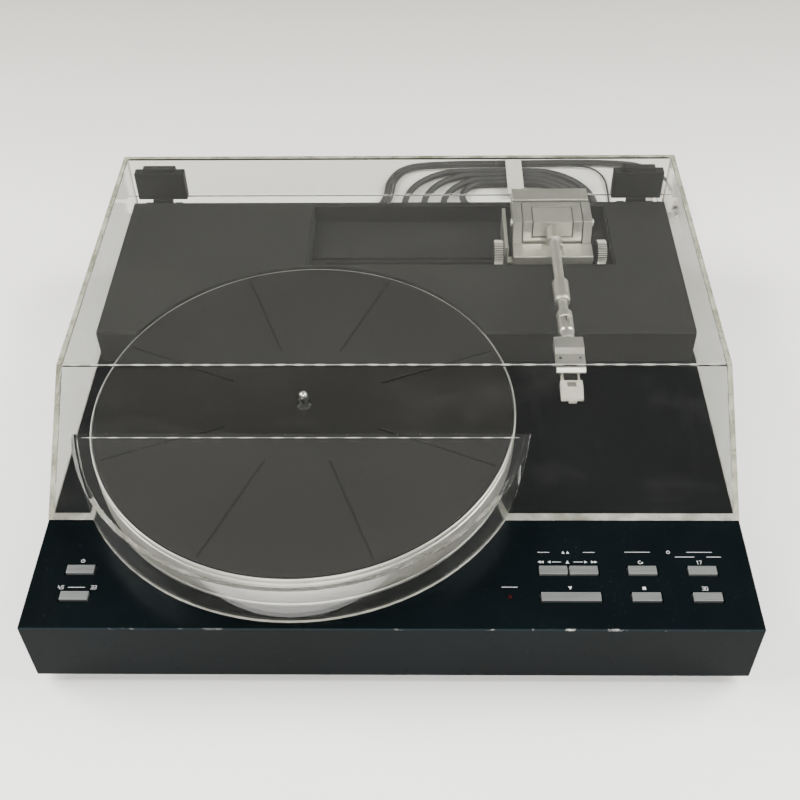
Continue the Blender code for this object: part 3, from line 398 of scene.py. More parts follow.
def arm_metal(name="satin_arm_aluminium", ridged=False):
    """Warm satin aluminium, finely blasted, with a few handling marks. A ridged dial's grooves are darkened
    as painted shade.
    """
    finish = Finish(name, Metallic=0.85)
    base = finish.colour("arm")
    cloud = finish.cloud(90.0, 5.0, 0.72)
    rubbed = finish.step(finish.noise(420.0, 4.0, finish.stretched((1.0, 0.15, 1.0))), 0.55, 0.75)
    tone = finish.blend(cloud, base, scaled(base, 0.90))
    tone = finish.blend(rubbed * 0.3, tone, scaled(base, 1.25))
    if ridged:
        low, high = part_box("force_dial")
        along = finish.axis("Y") - (low.y + high.y) / 2
        up = finish.axis("Z") - (low.z + high.z) / 2
        outer = (high.z - low.z) / 2
        raised = finish.step((along * along + up * up).root(), outer - 0.0009, outer - 0.0003)
        # Painted shade: the grooves between a dial's ridges are coloured near black.
        tone = finish.blend(raised, (0.03, 0.03, 0.028), tone)
    finish.set("Base Color", tone)
    finish.set("Roughness", finish.step(cloud, 0.0, 1.0, 0.33, 0.42) - rubbed * 0.05)
    finish.bump(finish.noise(3800.0, 2.0), 0.000018)
    return finish.material


def steel():
    """Bright steel with faint stains."""
    finish = Finish("bright_steel", Metallic=1.0)
    cloud = finish.cloud(120.0, 4.0, 0.72)
    finish.set("Base Color", finish.blend(cloud, (0.86, 0.86, 0.84), (0.74, 0.74, 0.72)))
    finish.set("Roughness", finish.step(cloud, 0.0, 1.0, 0.22, 0.34))
    finish.bump(finish.noise(3000.0, 2.0), 0.00001)
    return finish.material


def acrylic():
    """Clear cast acrylic with wiping smears, hairline scratches and a little dust. The mesh's attributes
    say what lies where: haze is how much settled dust veils a face, level a face that lies flat, rim a
    sawn edge, and lying and standing the faces on which the glued corners show, each corner as a pale
    brownish band one sheet wide."""
    finish = Finish("clear_acrylic", Transmission_Weight=1.0, IOR=1.49)
    tint = finish.colour("acrylic")
    smear = finish.step(finish.noise(16.0, 6.0, finish.stretched((1.0, 2.4, 1.0))), 0.52, 0.78)
    first = finish.noise(9.0, 8.0, finish.stretched((60.0, 1.0, 4.0)))
    second = finish.noise(9.0, 8.0, finish.stretched((1.4, 52.0, 6.0)))
    hairline = finish.step(first, 0.70, 0.74) + finish.step(second, 0.71, 0.75)
    speck = finish.step(finish.cells(300.0), 0.060, 0.030) * finish.step(finish.noise(26.0), 0.52, 0.62)
    walled = finish.blend(finish.attribute("standing"), tint, scaled(tint, 0.92))
    finish.set("Base Color", finish.blend(speck * 0.8, walled, scaled(tint, 0.55)))
    finish.set("Roughness", smear * 0.04 + hairline * 0.04)
    finish.bump(hairline, 0.00001, 0.5)
    cloud = finish.step(finish.noise(13.0, 7.0, finish.stretched((1.0, 1.7, 1.0))), 0.35, 0.75, 0.9, 1.2)
    smeared = smear * (2.4 - finish.attribute("level") * 2.2)
    haze = finish.attribute("haze") * (cloud + smeared + hairline * 0.8 + speck * 2.0)
    clear = Socket(finish, finish.shader.outputs["BSDF"])
    veiled = finish.mixed(haze, clear, finish.matt((0.90, 0.90, 0.85, 1.0)))
    streak = finish.cloud(60.0, 5.0)
    sawn = finish.matt(finish.blend(streak, (0.50, 0.49, 0.42), (0.80, 0.79, 0.72)))
    glued = finish.matt(finish.blend(streak, (0.20, 0.20, 0.14), (0.42, 0.42, 0.33)))
    corner_x, rear_y, top_z = (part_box("dust_cover")[1][i] - COVER_SHEET for i in range(3))
    aside = finish.step(abs(finish.axis("X")), corner_x - 0.0002, corner_x + 0.0002)
    behind_rear = finish.step(finish.axis("Y"), rear_y - 0.0003, rear_y + 0.0002)
    on_top = finish.step(finish.axis("Z"), top_z - 0.0003, top_z + 0.0002)
    lying = finish.attribute("lying") * aside.larger(behind_rear * finish.attribute("level"))
    corner = lying.larger(finish.attribute("standing") * on_top.larger(behind_rear))
    cornered = finish.mixed(corner * finish.step(streak, 0.0, 1.0, 0.50, 0.72), veiled, glued)
    rim = finish.attribute("rim") * finish.step(streak, 0.0, 1.0, 0.60, 0.85)
    finish.output(finish.mixed(rim, cornered, sawn))
    return finish.material


def moulded(name, base, rough):
    """A moulded plastic with a fine grain and slight tone changes."""
    finish = Finish(name, IOR=1.47)
    cloud = finish.cloud(130.0)
    finish.set("Base Color", finish.blend(cloud, base, scaled(base, 0.84)))
    finish.set("Roughness", finish.step(cloud, 0.0, 1.0, rough, rough + 0.10))
    finish.bump(finish.noise(2600.0, 2.0), 0.00002)
    return finish.material


def key_plastic():
    """Silver-grey key caps, brushed across, a little shiny where fingers rub."""
    finish = Finish("silver_key_plastic", Metallic=0.35)
    base = finish.colour("key")
    brush_pitch = 0.0011
    lines = (finish.axis("Y") * (2 * math.pi / brush_pitch)).sine() * 0.35
    brushed = finish.noise(900.0, 3.0, finish.stretched((0.04, 1.0, 1.0))) + lines
    worn = finish.step(finish.noise(150.0, 4.0), 0.40, 0.70)
    tone = finish.blend(brushed, scaled(base, 0.62), scaled(base, 1.30))
    finish.set("Base Color", finish.blend(worn * 0.3, tone, scaled(base, 1.15)))
    finish.set("Roughness", finish.step(worn, 0.0, 1.0, 0.44, 0.34))
    finish.bump(brushed, 0.00002)
    return finish.material


def tape():
    """Pale paper tape with a crepe crinkle."""
    finish = Finish("paper_tape", IOR=1.4)
    crinkle = finish.noise(700.0, 4.0, finish.stretched((1.0, 0.25, 1.0)))
    tone = finish.blend(crinkle, (0.50, 0.50, 0.44), (0.66, 0.66, 0.60))
    finish.set("Base Color", tone)
    finish.set("Roughness", finish.step(crinkle, 0.0, 1.0, 0.55, 0.75))
    finish.bump(crinkle, 0.00012)
    return finish.material


def board():
    """Green solder resist over copper tracks."""
    finish = Finish("green_circuit_board", IOR=1.5)
    tracks = finish.step(finish.cells(160.0, finish.stretched((1.0, 0.2, 1.0))), 0.30, 0.36)
    finish.set("Base Color", finish.blend(tracks, (0.020, 0.105, 0.040), (0.035, 0.160, 0.060)))
    finish.set("Roughness", finish.step(tracks, 0.0, 1.0, 0.38, 0.46))
    finish.bump(tracks, 0.00003)
    return finish.material


def copper():
    """Enamelled copper wire, wound in fine turns."""
    finish = Finish("enamelled_copper", Metallic=1.0)
    turns = finish.noise(2400.0, 2.0, finish.stretched((1.0, 0.1, 1.0)))
    finish.set("Base Color", finish.blend(turns, (0.48, 0.20, 0.08), (0.66, 0.33, 0.15)))
    finish.set("Roughness", finish.step(turns, 0.3, 0.7, 0.26, 0.40))
    finish.bump(turns, 0.00006)
    return finish.material


def backdrop_paper():
    """Pale paper, darkened towards the back of the stage as painted shade."""
    finish = Finish("backdrop_paper")
    paper = finish.colour("backdrop")
    cloud = finish.step(finish.noise(3.0, 4.0), 0.3, 0.7)
    near = finish.blend(cloud, scaled(paper, 0.98), paper)
    # Painted shade: the floor and the wall behind the player are darkened.
    painted_far_shade = finish.step(finish.axis("Y"), 0.10, 0.80)
    finish.set("Base Color", finish.blend(painted_far_shade, near, (0.42, 0.41, 0.365)))
    finish.set("Roughness", finish.step(cloud, 0.0, 1.0, 0.55, 0.65))
    finish.bump(finish.noise(900.0, 3.0), 0.00003)
    return finish.material


def finishes():
    """One finish for each of the record's slots and for the details, made at the first call."""
    made = bpy.context.scene.get("player_finishes")
    if made:
        return {slot: bpy.data.materials[name] for slot, name in made.items()}
    colours = bpy.context.scene.player_colours
    table = {
        "lacquer": lacquer(),
        "black_plastic": black_plastic(),
        "rubber": rubber(),
        "mat": mat_rubber(),
        "platter_metal": platter_metal(),
        "arm_metal": arm_metal(),
        "dial": arm_metal("ridged_dial_aluminium", ridged=True),
        "steel": steel(),
        "acrylic": acrylic(),
        "button": key_plastic(),
        "ivory": moulded("ivory_plastic", tuple(colours.ivory), 0.38),
        "board": board(),
        "copper": copper(),
        "magnet": moulded("grey_ferrite", (0.06, 0.06, 0.065), 0.45),
        "red": moulded("red_plastic", (0.42, 0.030, 0.028), 0.36),
        "lens": moulded("red_lens", (0.020, 0.003, 0.003), 0.14),
        "tape": tape(),
        "print": moulded("printed_ink", tuple(colours.print_ink), 0.55),
        # Pale glue of the cover's seams, bright enough to stand in for painted glints.
        "bead": moulded("cloudy_glue", (0.62, 0.62, 0.58), 0.30),
        "shade": moulded("grey_print", (0.20, 0.19, 0.17), 0.45),
        # Near-black paint standing in for the shade inside a slot.
        "dark": moulded("dark_recess", (0.012, 0.012, 0.012), 0.50),
    }
    bpy.context.scene["player_finishes"] = {slot: found.name for slot, found in table.items()}
    return table


# Surfaces


def quads(rows, columns, row_loop, column_loop):
    """The faces of a grid of points numbered row by row, closed on itself either way where asked."""
    row = np.arange(rows if row_loop else rows - 1)[:, None]
    column = np.arange(columns if column_loop else columns - 1)[None, :]
    right = (column + 1) % columns
    here, below = row * columns, (row + 1) % rows * columns
    corners = (here + column, here + right, below + right, below + column)
    return np.stack(np.broadcast_arrays(*corners), axis=-1).reshape(-1, 4)


def grid_faces(rows, columns, row_loop=False):
    """The faces of rows that are closed rings of points. Unless the rows themselves join up into a loop,
    the first and the last row are each closed by one flat face."""
    faces = quads(rows, columns, row_loop, True).tolist()
    if not row_loop:
        faces.append(list(range(columns))[::-1])
        faces.append(list(range((rows - 1) * columns, rows * columns)))
    return faces


def placed(name, mesh, slot, body, replaced, angle, finish=None):
    """The object of a finished mesh: its finish, its sharp edges, and the body that it rides on."""
    mesh.materials.append(finishes()[finish or slot])
    mesh.shade_smooth()
    mesh.set_sharp_from_angle(angle=math.radians(angle))
    made = bpy.data.objects.new(name, mesh)
    bpy.context.scene.collection.objects.link(made)
    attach(made, body)
    if replaced:
        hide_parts(*replaced)
    return made


def piece(name, points, faces, slot, body, replaced=(), angle=35.0, finish=None):
    """Makes a piece from world points and turns its faces outward. Edges past the angle stay sharp."""
    mesh = bpy.data.meshes.new(name)
    mesh.from_pydata(np.asarray(points, float).reshape(-1, 3), [], faces)
    shape = bmesh.new()
    shape.from_mesh(mesh)
    bmesh.ops.recalc_face_normals(shape, faces=shape.faces[:])
    shape.to_mesh(mesh)
    shape.free()
    return placed(name, mesh, slot, body, replaced, angle, finish)


UNDER_HALF = 0.45


def rounded(profile, radius, steps=4, closed=False):
    """The profile with its corners rounded: each corner P becomes a quadratic curve, whose point at t is
    (1-t)^2 A + 2t(1-t) P + t^2 B, where A and B lie on its two sides, radius away, or a little under half
    a side where that is less."""
    corners = np.asarray(profile, float)
    before, after = np.roll(corners, 1, axis=0), np.roll(corners, -1, axis=0)
    t = np.linspace(0.0, 1.0, steps)[:, None]
    made = []
    for i, (previous, corner, following) in enumerate(zip(before, corners, after)):
        if not closed and i in (0, len(corners) - 1):
            made.append(corner[None])
            continue
        start, end = (
            corner + (side - corner) * min(radius / np.linalg.norm(side - corner), UNDER_HALF)
            for side in (previous, following)
        )
        made.append((1 - t) ** 2 * start + 2 * t * (1 - t) * corner + t**2 * end)
    return np.vstack(made)


def turned(profile, origin, direction, segments):
    """A profile of (radius, height) turned round an axis: the point at angle a is
    origin + height * axis + radius * (cos a * side + sin a * other side)."""
    axis = Vector(direction).normalized()
    side = axis.orthogonal().normalized()
    other = axis.cross(side)
    angle = np.linspace(0.0, 2 * math.pi, segments, endpoint=False)
    ring = np.cos(angle)[:, None] * np.array(side) + np.sin(angle)[:, None] * np.array(other)
    radius, height = (column[:, None, None] for column in np.asarray(profile, float).T)
    return np.array(origin) + height * np.array(axis) + radius * ring[None]


def turned_piece(
    name, profile, origin, direction, slot, body, replaced=(), segments=96, rounding=0.0003, ring=False
):
    """A turned piece: a ring, whose profile is closed, or a solid, which ends in two flat faces."""
    outline = rounded(profile, rounding, closed=ring)
    points = turned(outline, origin, direction, segments)
    faces = grid_faces(len(outline), segments, row_loop=ring)
    return piece(name, points, faces, slot, body, replaced)


def block(low, high):
    """The eight corners and six faces of a box."""
    (a, b, c), (d, e, f) = low, high
    points = [(x, y, z) for z in (c, f) for y in (b, e) for x in (a, d)]
    faces = [(0, 2, 3, 1), (4, 5, 7, 6), (0, 1, 5, 4), (2, 6, 7, 3), (0, 4, 6, 2), (1, 3, 7, 5)]
    return points, faces


def many_blocks(boxes):
    """The points and faces of several boxes, each given by its low and high corner."""
    points, faces = [], []
    for low, high in boxes:
        corners, sides = block(low, high)
        faces += [tuple(i + len(points) for i in side) for side in sides]
        points += corners
    return points, faces


def soften(made, width, segments=2):
    """Rounds the sharp edges of a piece with a live Bevel."""
    bevel = made.modifiers.new("rounded edges", "BEVEL")
    bevel.width = width
    bevel.segments = segments
    bevel.limit_method = "ANGLE"
    bevel.angle_limit = math.radians(SHARP_DEGREES)
    bevel.harden_normals = True
    return made


def read(elements, name, width=1, kind=np.float32):
    """One property of every element of a mesh, as an array with a row for each element."""
    values = np.empty(len(elements) * width, kind)
    elements.foreach_get(name, values)
    return values.reshape(-1, width) if width > 1 else values


def refined(node, width, segments=2):
    """A copy of a frame piece with its loose triangles merged into faces and its edges rounded."""
    source = frame["nodes"][node].data
    triangles = read(source.loops, "vertex_index", 1, np.int32).reshape(-1, 3)
    name = f"{node}_fine"
    mesh = bpy.data.meshes.new(name)
    mesh.from_pydata(read(source.vertices, "co", 3), [], triangles)
    shape = bmesh.new()
    shape.from_mesh(mesh)
    bmesh.ops.remove_doubles(shape, verts=shape.verts[:], dist=MERGE_GAP)
    bmesh.ops.dissolve_limit(shape, angle_limit=FLAT_ANGLE, verts=shape.verts[:], edges=shape.edges[:])
    shape.to_mesh(mesh)
    shape.free()
    body = frame["nodes"][node]["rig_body"]
    made = placed(name, mesh, SLOT_OF[node], body, (node,), SHARP_DEGREES)
    return soften(made, width, segments) if width else made


# Leads


# Each route is a list of (x, distance behind the front, z).
PHONO_ROUTE = [
    (-0.0400, 0.4458, 0.0205),
    (-0.0400, 0.4560, 0.0195),
    (-0.0450, 0.4660, 0.0130),
    (-0.0600, 0.4710, 0.0055),
    (-0.0900, 0.4700, 0.0030),
    (-0.1500, 0.4680, 0.0030),
    (-0.1850, 0.4690, 0.0030),
    (-0.2000, 0.4840, 0.0030),
    (-0.1880, 0.5010, 0.0030),
    (-0.1500, 0.5040, 0.0030),
    (-0.1000, 0.5010, 0.0030),
    (-0.0550, 0.5020, 0.0030),
    (-0.0250, 0.5110, 0.0030),
    (-0.0135, 0.5320, 0.0030),
    (-0.0090, 0.5620, 0.0030),
    (0.0070, 0.5830, 0.0030),
    (0.0480, 0.5895, 0.0030),
    (0.1127, 0.5905, 0.0030),
    (0.1700, 0.5915, 0.0030),
]
WHITE_END = [
    (0.2080, 0.5945, 0.0030),
    (0.2400, 0.5890, 0.0032),
    (0.2590, 0.5700, 0.0045),
    (0.2680, 0.5500, 0.0058),
    (0.2692, 0.5353, 0.0062),
]
RED_END = [
    (0.2050, 0.5900, 0.0030),
    (0.2330, 0.5840, 0.0035),
    (0.2470, 0.5720, 0.0050),
    (0.2500, 0.5563, 0.0062),
]
GROUND_END = [
    (0.1880, 0.5860, 0.0024),
    (0.1985, 0.5790, 0.0018),
    (0.2045, 0.5640, 0.0016),
    (0.2050, 0.5400, 0.0016),
    (0.2040, 0.5200, 0.0016),
]
MAINS_START = [
    (0.1890, 0.4458, 0.0205),
    (0.1890, 0.4510, 0.0202),
    (0.1890, 0.4590, 0.0168),
    (0.1890, 0.4680, 0.0115),
    (0.1890, 0.4770, 0.0072),
    (0.1890, 0.4888, 0.0052),
]
MAINS_RADIUS = 0.00325
PHONO_RADIUS = 0.0018
GROUND_RADIUS = 0.0010
HANK_MIDDLE_Z = 0.00445
HANK_RIGHT = 0.1893
HANK_BACK = 0.5758
HANK_FRONT = 0.4593
HANK_LEFT = 0.0030
HANK_PITCH = 0.0068
HANK_LEFT_PITCH = 0.0190
PLUG_ENTRY = (0.0900, 0.5080, 0.0087)
WHITE_PLUG = (0.2692, 0.5350, 0.0062)
RED_PLUG = (0.2500, 0.5560, 0.0062)


def smooth_line(points, step):
    """Points every step metres on the curve whose piece between B and C, with neighbours A and D, is
    half of 2B + (C-A)t + (2A-5B+4C-D)t^2 + (3B-A-3C+D)t^3."""
    route = np.asarray(points, float)
    route = np.vstack([2 * route[0] - route[1], route, 2 * route[-1] - route[-2]])
    t = np.linspace(0.0, 1.0, 24, endpoint=False)[None, :, None]
    a, b, c, d = (route[i : len(route) - 3 + i, None, :] for i in range(4))
    cubic = 2 * b + (c - a) * t + (2 * a - 5 * b + 4 * c - d) * t**2 + (3 * b - a - 3 * c + d) * t**3
    fine = np.vstack([(cubic / 2).reshape(-1, 3), route[-2]])
    walked = np.concatenate([[0.0], np.cumsum(np.linalg.norm(np.diff(fine, axis=0), axis=1))])
    even = np.linspace(0.0, walked[-1], max(8, round(walked[-1] / step)) + 1)
    return np.stack([np.interp(even, walked, fine[:, i]) for i in range(3)], axis=1)


def world_line(points):
    """A route of (x, distance behind the front, z) as world points."""
    line = np.asarray(points, float)
    line[:, 1] += FRONT_Y
    return line


def beside(line, offset):
    """The line moved to the left of the way it runs, in the plane of the table."""
    ahead = np.gradient(line, axis=0)
    left = np.stack([-ahead[:, 1], ahead[:, 0], np.zeros(len(line))], axis=1)
    return line + offset * left / np.linalg.norm(left, axis=1)[:, None]


def half_turn(middle, radius, start, end, points=7):
    """Points on a circle from the start angle to the end angle, at the hank's height."""
    angle = np.radians(np.linspace(start, end, points))
    x, y = middle[0] + radius * np.cos(angle), middle[1] + radius * np.sin(angle)
    return np.stack([x, y, np.full(points, HANK_MIDDLE_Z)], axis=1)


def hank_route(turns=3):
    """The mains lead's way: nested runs that share their right end's middle, then the plug's tail."""
    parts = [np.array(MAINS_START)]
    front = None
    for k in range(turns + 1):
        right, rear = HANK_RIGHT - HANK_PITCH * k, HANK_BACK - HANK_PITCH * k
        if front is None:
            radius = (rear - HANK_FRONT) / 2
            parts.append(half_turn((right - radius, rear - radius), radius, 0, 90, 5))
        else:
            radius = (rear - front) / 2
            parts.append(half_turn((right - radius, rear - radius), radius, -90, 90, 9))
        left = HANK_LEFT + HANK_LEFT_PITCH * k
        front = HANK_FRONT + HANK_PITCH * k if k < turns else PLUG_ENTRY[1]
        radius = (rear - front) / 2
        parts.append(half_turn((left + radius, rear - radius), radius, 90, 270, 9))
    tail = parts.pop()
    parts += [tail[:-1], np.array([PLUG_ENTRY])]
    return np.vstack(parts)


def lead_curve(name, line, radius, replaced):
    """A round lead along a line of points, as one curve with closed ends."""
    curve = bpy.data.curves.new(name, "CURVE")
    curve.dimensions = "3D"
    curve.bevel_depth = radius
    curve.bevel_resolution = 4
    curve.use_fill_caps = True
    spline = curve.splines.new("POLY")
    spline.points.add(len(line) - 1)
    places = np.column_stack([line, np.ones(len(line))])
    spline.points.foreach_set("co", places.astype(np.float32).ravel())
    curve.materials.append(finishes()["rubber"])
    made = bpy.data.objects.new(name, curve)
    bpy.context.scene.collection.objects.link(made)
    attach(made, "plinth")
    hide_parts(*replaced)
    return made


def gland(name, node):
    """A ribbed sleeve that tapers to its tip, as long as the frame piece, with a groove in every rib."""
    low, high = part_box(node)
    foot = ((low.x + high.x) / 2, SHELL_HIGH.y + 0.0003, (low.z + high.z) / 2)
    wide = (high.x - low.x) / 2
    tip = 0.0042 if node == "mains_gland" else 0.0068
    length = high.y - foot[1]
    flange, margin, rib, cut = 0.0012, 0.0020, 0.0026, 0.0007
    profile = [(AXIS_GAP, 0.0), (wide, 0.0), (wide, flange)]
    for start in np.arange(margin, length - margin, rib):
        share = start / length
        radius = (wide - 0.0010) * (1 - share) + tip * share
        profile += [(radius, start), (radius, start + 0.0014)]
        profile += [(radius - cut, start + 0.0016), (radius - cut, start + 0.0024)]
    profile += [(tip, length - 0.0004), (tip - 0.0006, length), (AXIS_GAP, length)]
    return turned_piece(name, profile, foot, (0, 1, 0), "rubber", "plinth", (node,), 48, 0.0002)


def phono_plug(name, node, start, heading, slot):
    """A moulded plug with finger grooves, a metal collar and its pin."""
    x, depth, z = start
    foot = (x, behind(depth), z)
    wide, cut, pitch = 0.0054, 0.0050, 0.0022
    body = [(AXIS_GAP, 0), (0.0026, 0), (0.0034, 0.0090), (cut, 0.0104)]
    for groove in pitch * np.arange(6):
        body += [(wide, 0.0112 + groove), (wide, 0.0124 + groove)]
        body += [(cut, 0.0126 + groove), (cut, 0.0132 + groove)]
    body += [(wide, 0.0246), (wide, 0.0268), (0.0048, 0.0272), (AXIS_GAP, 0.0272)]
    made = turned_piece(name, body, foot, heading, slot, "plinth", (node,), 48, 0.0002)
    collar = [(AXIS_GAP, 0.0273), (0.0047, 0.0273), (0.0047, 0.0329), (0.0040, 0.0331), (0.0016, 0.0325)]
    collar += [(0.0016, 0.0395), (0.0009, 0.0408), (AXIS_GAP, 0.0409)]
    tip = turned_piece(f"{name}_contact", collar, foot, heading, "steel", "plinth", (), 48, 0.0002)
    return [made, tip]


def superellipse_loft(stations, sides=48):
    """Rings carried along X: a ring's point at angle a is w |cos a|^p from its middle along Y and
    h |sin a|^p along Z, each with the sign of its cosine or sine."""
    angle = np.linspace(0.0, 2 * math.pi, sides, endpoint=False)
    x, y, z, wide, high, power = (column[:, None] for column in np.asarray(stations, float).T)
    c, s = np.cos(angle)[None], np.sin(angle)[None]
    across = y + wide * np.sign(c) * np.abs(c) ** power
    up = z + high * np.sign(s) * np.abs(s) ** power
    return np.stack(np.broadcast_arrays(x, across, up), axis=-1)


def mains_plug():
    """A moulded two-pin plug: a rounded-box body, a tapered ribbed relief, and two flat pins."""
    x, depth, z = PLUG_ENTRY
    y = behind(depth)
    ribs, pitch, cut = 6, 0.0032, 0.0006
    rings = []
    for i in range(ribs):
        radius = 0.0040 + 0.0016 * i / (ribs - 1)
        start = 0.0002 + pitch * i
        rings += [(start, radius, radius, 1.0), (start + 0.0018, radius, radius, 1.0)]
        rings += [(start + 0.0020, radius - cut, radius - cut, 1.0)]
        rings += [(start + 0.0030, radius - cut, radius - cut, 1.0)]
    rings += [(0.0192, 0.0090, 0.0062, 0.7), (0.0205, 0.0112, 0.0070, 0.5), (0.0250, 0.0122, 0.0074, 0.4)]
    rings += [(0.0500, 0.0122, 0.0074, 0.35), (0.0516, 0.0116, 0.0069, 0.35), (0.0520, 0.0106, 0.0060, 0.35)]
    stations = [(x + along, y, z, wide, high, power) for along, wide, high, power in rings]
    points = superellipse_loft(stations)
    faces = grid_faces(len(stations), points.shape[1])
    body = piece("mains_plug_fine", points, faces, "rubber", "plinth", ("mains_plug",), 30.0)
    pins = [
        ((x + 0.0518, y + side - 0.0008, z - 0.0030), (x + 0.0680, y + side + 0.0008, z + 0.0030))
        for side in (-0.0064, 0.0064)
    ]
    contacts = soften(piece("mains_plug_pins", *many_blocks(pins), "steel", "plinth"), 0.0003)
    return [body, contacts]


def ground_fork(end):
    """A flat fork terminal at the end of the ground wire: a crimped sleeve and two prongs."""
    x, y, z = end
    boxes = [
        ((x - 0.0013, y - 0.0060, z - 0.0013), (x + 0.0013, y + 0.0004, z + 0.0013)),
        ((x - 0.0030, y - 0.0085, z - 0.0012), (x + 0.0030, y - 0.0058, z - 0.0004)),
        ((x - 0.0030, y - 0.0150, z - 0.0012), (x - 0.0016, y - 0.0084, z - 0.0004)),
        ((x + 0.0016, y - 0.0150, z - 0.0012), (x + 0.0030, y - 0.0084, z - 0.0004)),
    ]
    return soften(piece("ground_fork", *many_blocks(boxes), "steel", "plinth"), 0.0002)


def tape_band():
    """A band of tape round the leads: a ring in the Y-Z plane, nearly a box, swept along X. Its point at
    angle a is w |cos a|^0.25 from the middle along Y and h |sin a|^0.55 along Z, with their signs."""
    low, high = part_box("cord_tie")
    angle = np.linspace(0.0, 2 * math.pi, 96, endpoint=False)
    c, s = np.cos(angle), np.sin(angle)
    middle_y, middle_z = (low.y + high.y) / 2, (low.z + high.z) / 2
    thick = 0.0004
    rows = []
    for x, depth in ((low.x, 0.0), (high.x, 0.0), (high.x, thick), (low.x, thick)):
        wide, tall = (high.y - low.y) / 2 - depth, (high.z - low.z) / 2 - depth
        y = middle_y + wide * np.sign(c) * np.abs(c) ** 0.25
        z = middle_z + tall * np.sign(s) * np.abs(s) ** 0.55
        rows.append(np.stack([np.full_like(y, x), y, z], axis=-1))
    faces = grid_faces(len(rows), len(angle), row_loop=True)
    return piece("cord_tie_fine", rows, faces, "tape", "plinth", ("cord_tie",), 40.0)


class PLAYER_OT_leads(bpy.types.Operator):
    """Build the mains lead, both signal leads, the ground wire and what is on them."""

    bl_idname = "player.leads"
    bl_label = "Leads"

    def execute(self, context):
        line = smooth_line(world_line(hank_route()), 0.004)
        mains = lead_curve("mains_lead", line, MAINS_RADIUS, ("mains_cord", "mains_hank"))
        sleeve = gland("mains_gland_fine", "mains_gland")
        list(mains_plug())
        tape_band()
        shared = smooth_line(world_line(PHONO_ROUTE), 0.0115)
        sleeve = gland("phono_gland_fine", "phono_gland")
        white = phono_plug("phono_plug_white_fine", "phono_plug_white", WHITE_PLUG, (-0.03, -1, 0), "ivory")
        red = phono_plug("phono_plug_red_fine", "phono_plug_red", RED_PLUG, (0.04, -1, 0), "red")
        runs = (
            ("phono_cord_white", 0.0041, WHITE_END, PHONO_RADIUS, [sleeve, *white]),
            ("phono_cord_red", 0.0, RED_END, PHONO_RADIUS, red),
            ("ground_wire", -0.0035, GROUND_END, GROUND_RADIUS, []),
        )
        for node, offset, end, radius, on_it in runs:
            own = beside(shared, offset)
            line = smooth_line(np.vstack([own, world_line(end)]), 0.003)
            lead = lead_curve(f"{node}_fine", line, radius, (node,))
            if node == "ground_wire":
                on_it = [ground_fork(line[-1])]
            2 * radius
        return {"FINISHED"}


# Stage


CAMERA_AT = (0.0210, -0.60225, 0.6766)
CAMERA_TURN = 0.0215
CAMERA_DOWN = 0.7788
CAMERA_ROLL = -0.016
LENS_MM = 51.14
SENSOR_MM = 36.0
CAMERA_SHIFT = (-0.00725, -0.0393)

# Each lamp's name, place, width and depth, and power in watts
LAMPS = (
    ("left_softbox", (-1.55, 0.10, 1.45), (1.3, 1.5), 98.0),
    ("right_softbox", (1.55, 0.15, 1.45), (1.3, 1.5), 92.0),
    ("front_softbox", (0.0, -1.75, 1.55), (2.2, 0.8), 72.0),
)
LAMP_COLOUR = (1.0, 0.985, 0.965)
LAMPS_AIM = Vector((0.0, 0.0, 0.05))
SKY_COLOUR = (0.60, 0.61, 0.62, 1.0)
SKY_STRENGTH = 0.22


class PLAYER_OT_stage(bpy.types.Operator):
    """Build the pale floor, the lights and the camera."""

    bl_idname = "player.stage"
    bl_label = "Stage"

    def execute(self, context):
        self.make_camera(context.scene)
        self.make_floor(context.scene)
        self.make_lights(context.scene)
        return {"FINISHED"}

    def make_camera(self, scene):
        data = bpy.data.cameras.new("camera")
        data.sensor_width = SENSOR_MM
        data.lens = LENS_MM
        data.shift_x, data.shift_y = CAMERA_SHIFT
        data.clip_start = 0.02
        camera = bpy.data.objects.new("camera", data)
        scene.collection.objects.link(camera)
        turn = Matrix.Rotation(CAMERA_TURN, 4, "Z")
        tilt = Matrix.Rotation(math.pi / 2 - CAMERA_DOWN, 4, "X")
        roll = Matrix.Rotation(CAMERA_ROLL, 4, "Z")
        camera.matrix_world = Matrix.Translation(CAMERA_AT) @ turn @ tilt @ roll
        scene.camera = camera

    def make_floor(self, scene):
        """A floor that curves up at the back: flat, then a quarter circle, then a low wall."""
        front, bend, radius, top, half = -3.0, 1.15, 0.5, 0.75, 4.0
        below_feet = 0.0002
        angle = np.linspace(0.0, math.pi / 2, 33)
        y = np.concatenate([[front], bend + radius * np.sin(angle), [bend + radius]])
        z = np.concatenate([[0.0], radius * (1 - np.cos(angle)), [top]]) - below_feet
        x = np.array([-half, half])
        points = np.stack(np.broadcast_arrays(x[None], y[:, None], z[:, None]), axis=-1)
        mesh = bpy.data.meshes.new("floor")
        mesh.from_pydata(points.reshape(-1, 3), [], quads(len(y), 2, False, False)[:, ::-1].tolist())
        mesh.shade_smooth()
        mesh.materials.append(backdrop_paper())
        floor = bpy.data.objects.new("floor", mesh)
        scene.collection.objects.link(floor)

    def make_lights(self, scene):
        world = bpy.data.worlds.new("studio")
        scene.world = world
        world.use_nodes = True
        sky = world.node_tree.nodes["Background"]
        sky.inputs["Color"].default_value = SKY_COLOUR
        sky.inputs["Strength"].default_value = SKY_STRENGTH
        for name, place, size, power in LAMPS:
            data = bpy.data.lights.new(name, "AREA")
            data.shape = "RECTANGLE"
            data.size, data.size_y = size
            data.energy = power
            data.color = LAMP_COLOUR
            lamp = bpy.data.objects.new(name, data)
            scene.collection.objects.link(lamp)
            lamp.location = place
            lamp.rotation_euler = (LAMPS_AIM - Vector(place)).to_track_quat("-Z", "Y").to_euler()


# Plinth, keys and markings


KEYS = (
    "button_power",
    "button_speed",
    "button_arm_left",
    "button_arm_right",
    "button_arm_down",
    "button_repeat",
    "button_cut",
    "button_size_17",
    "button_size_30",
)


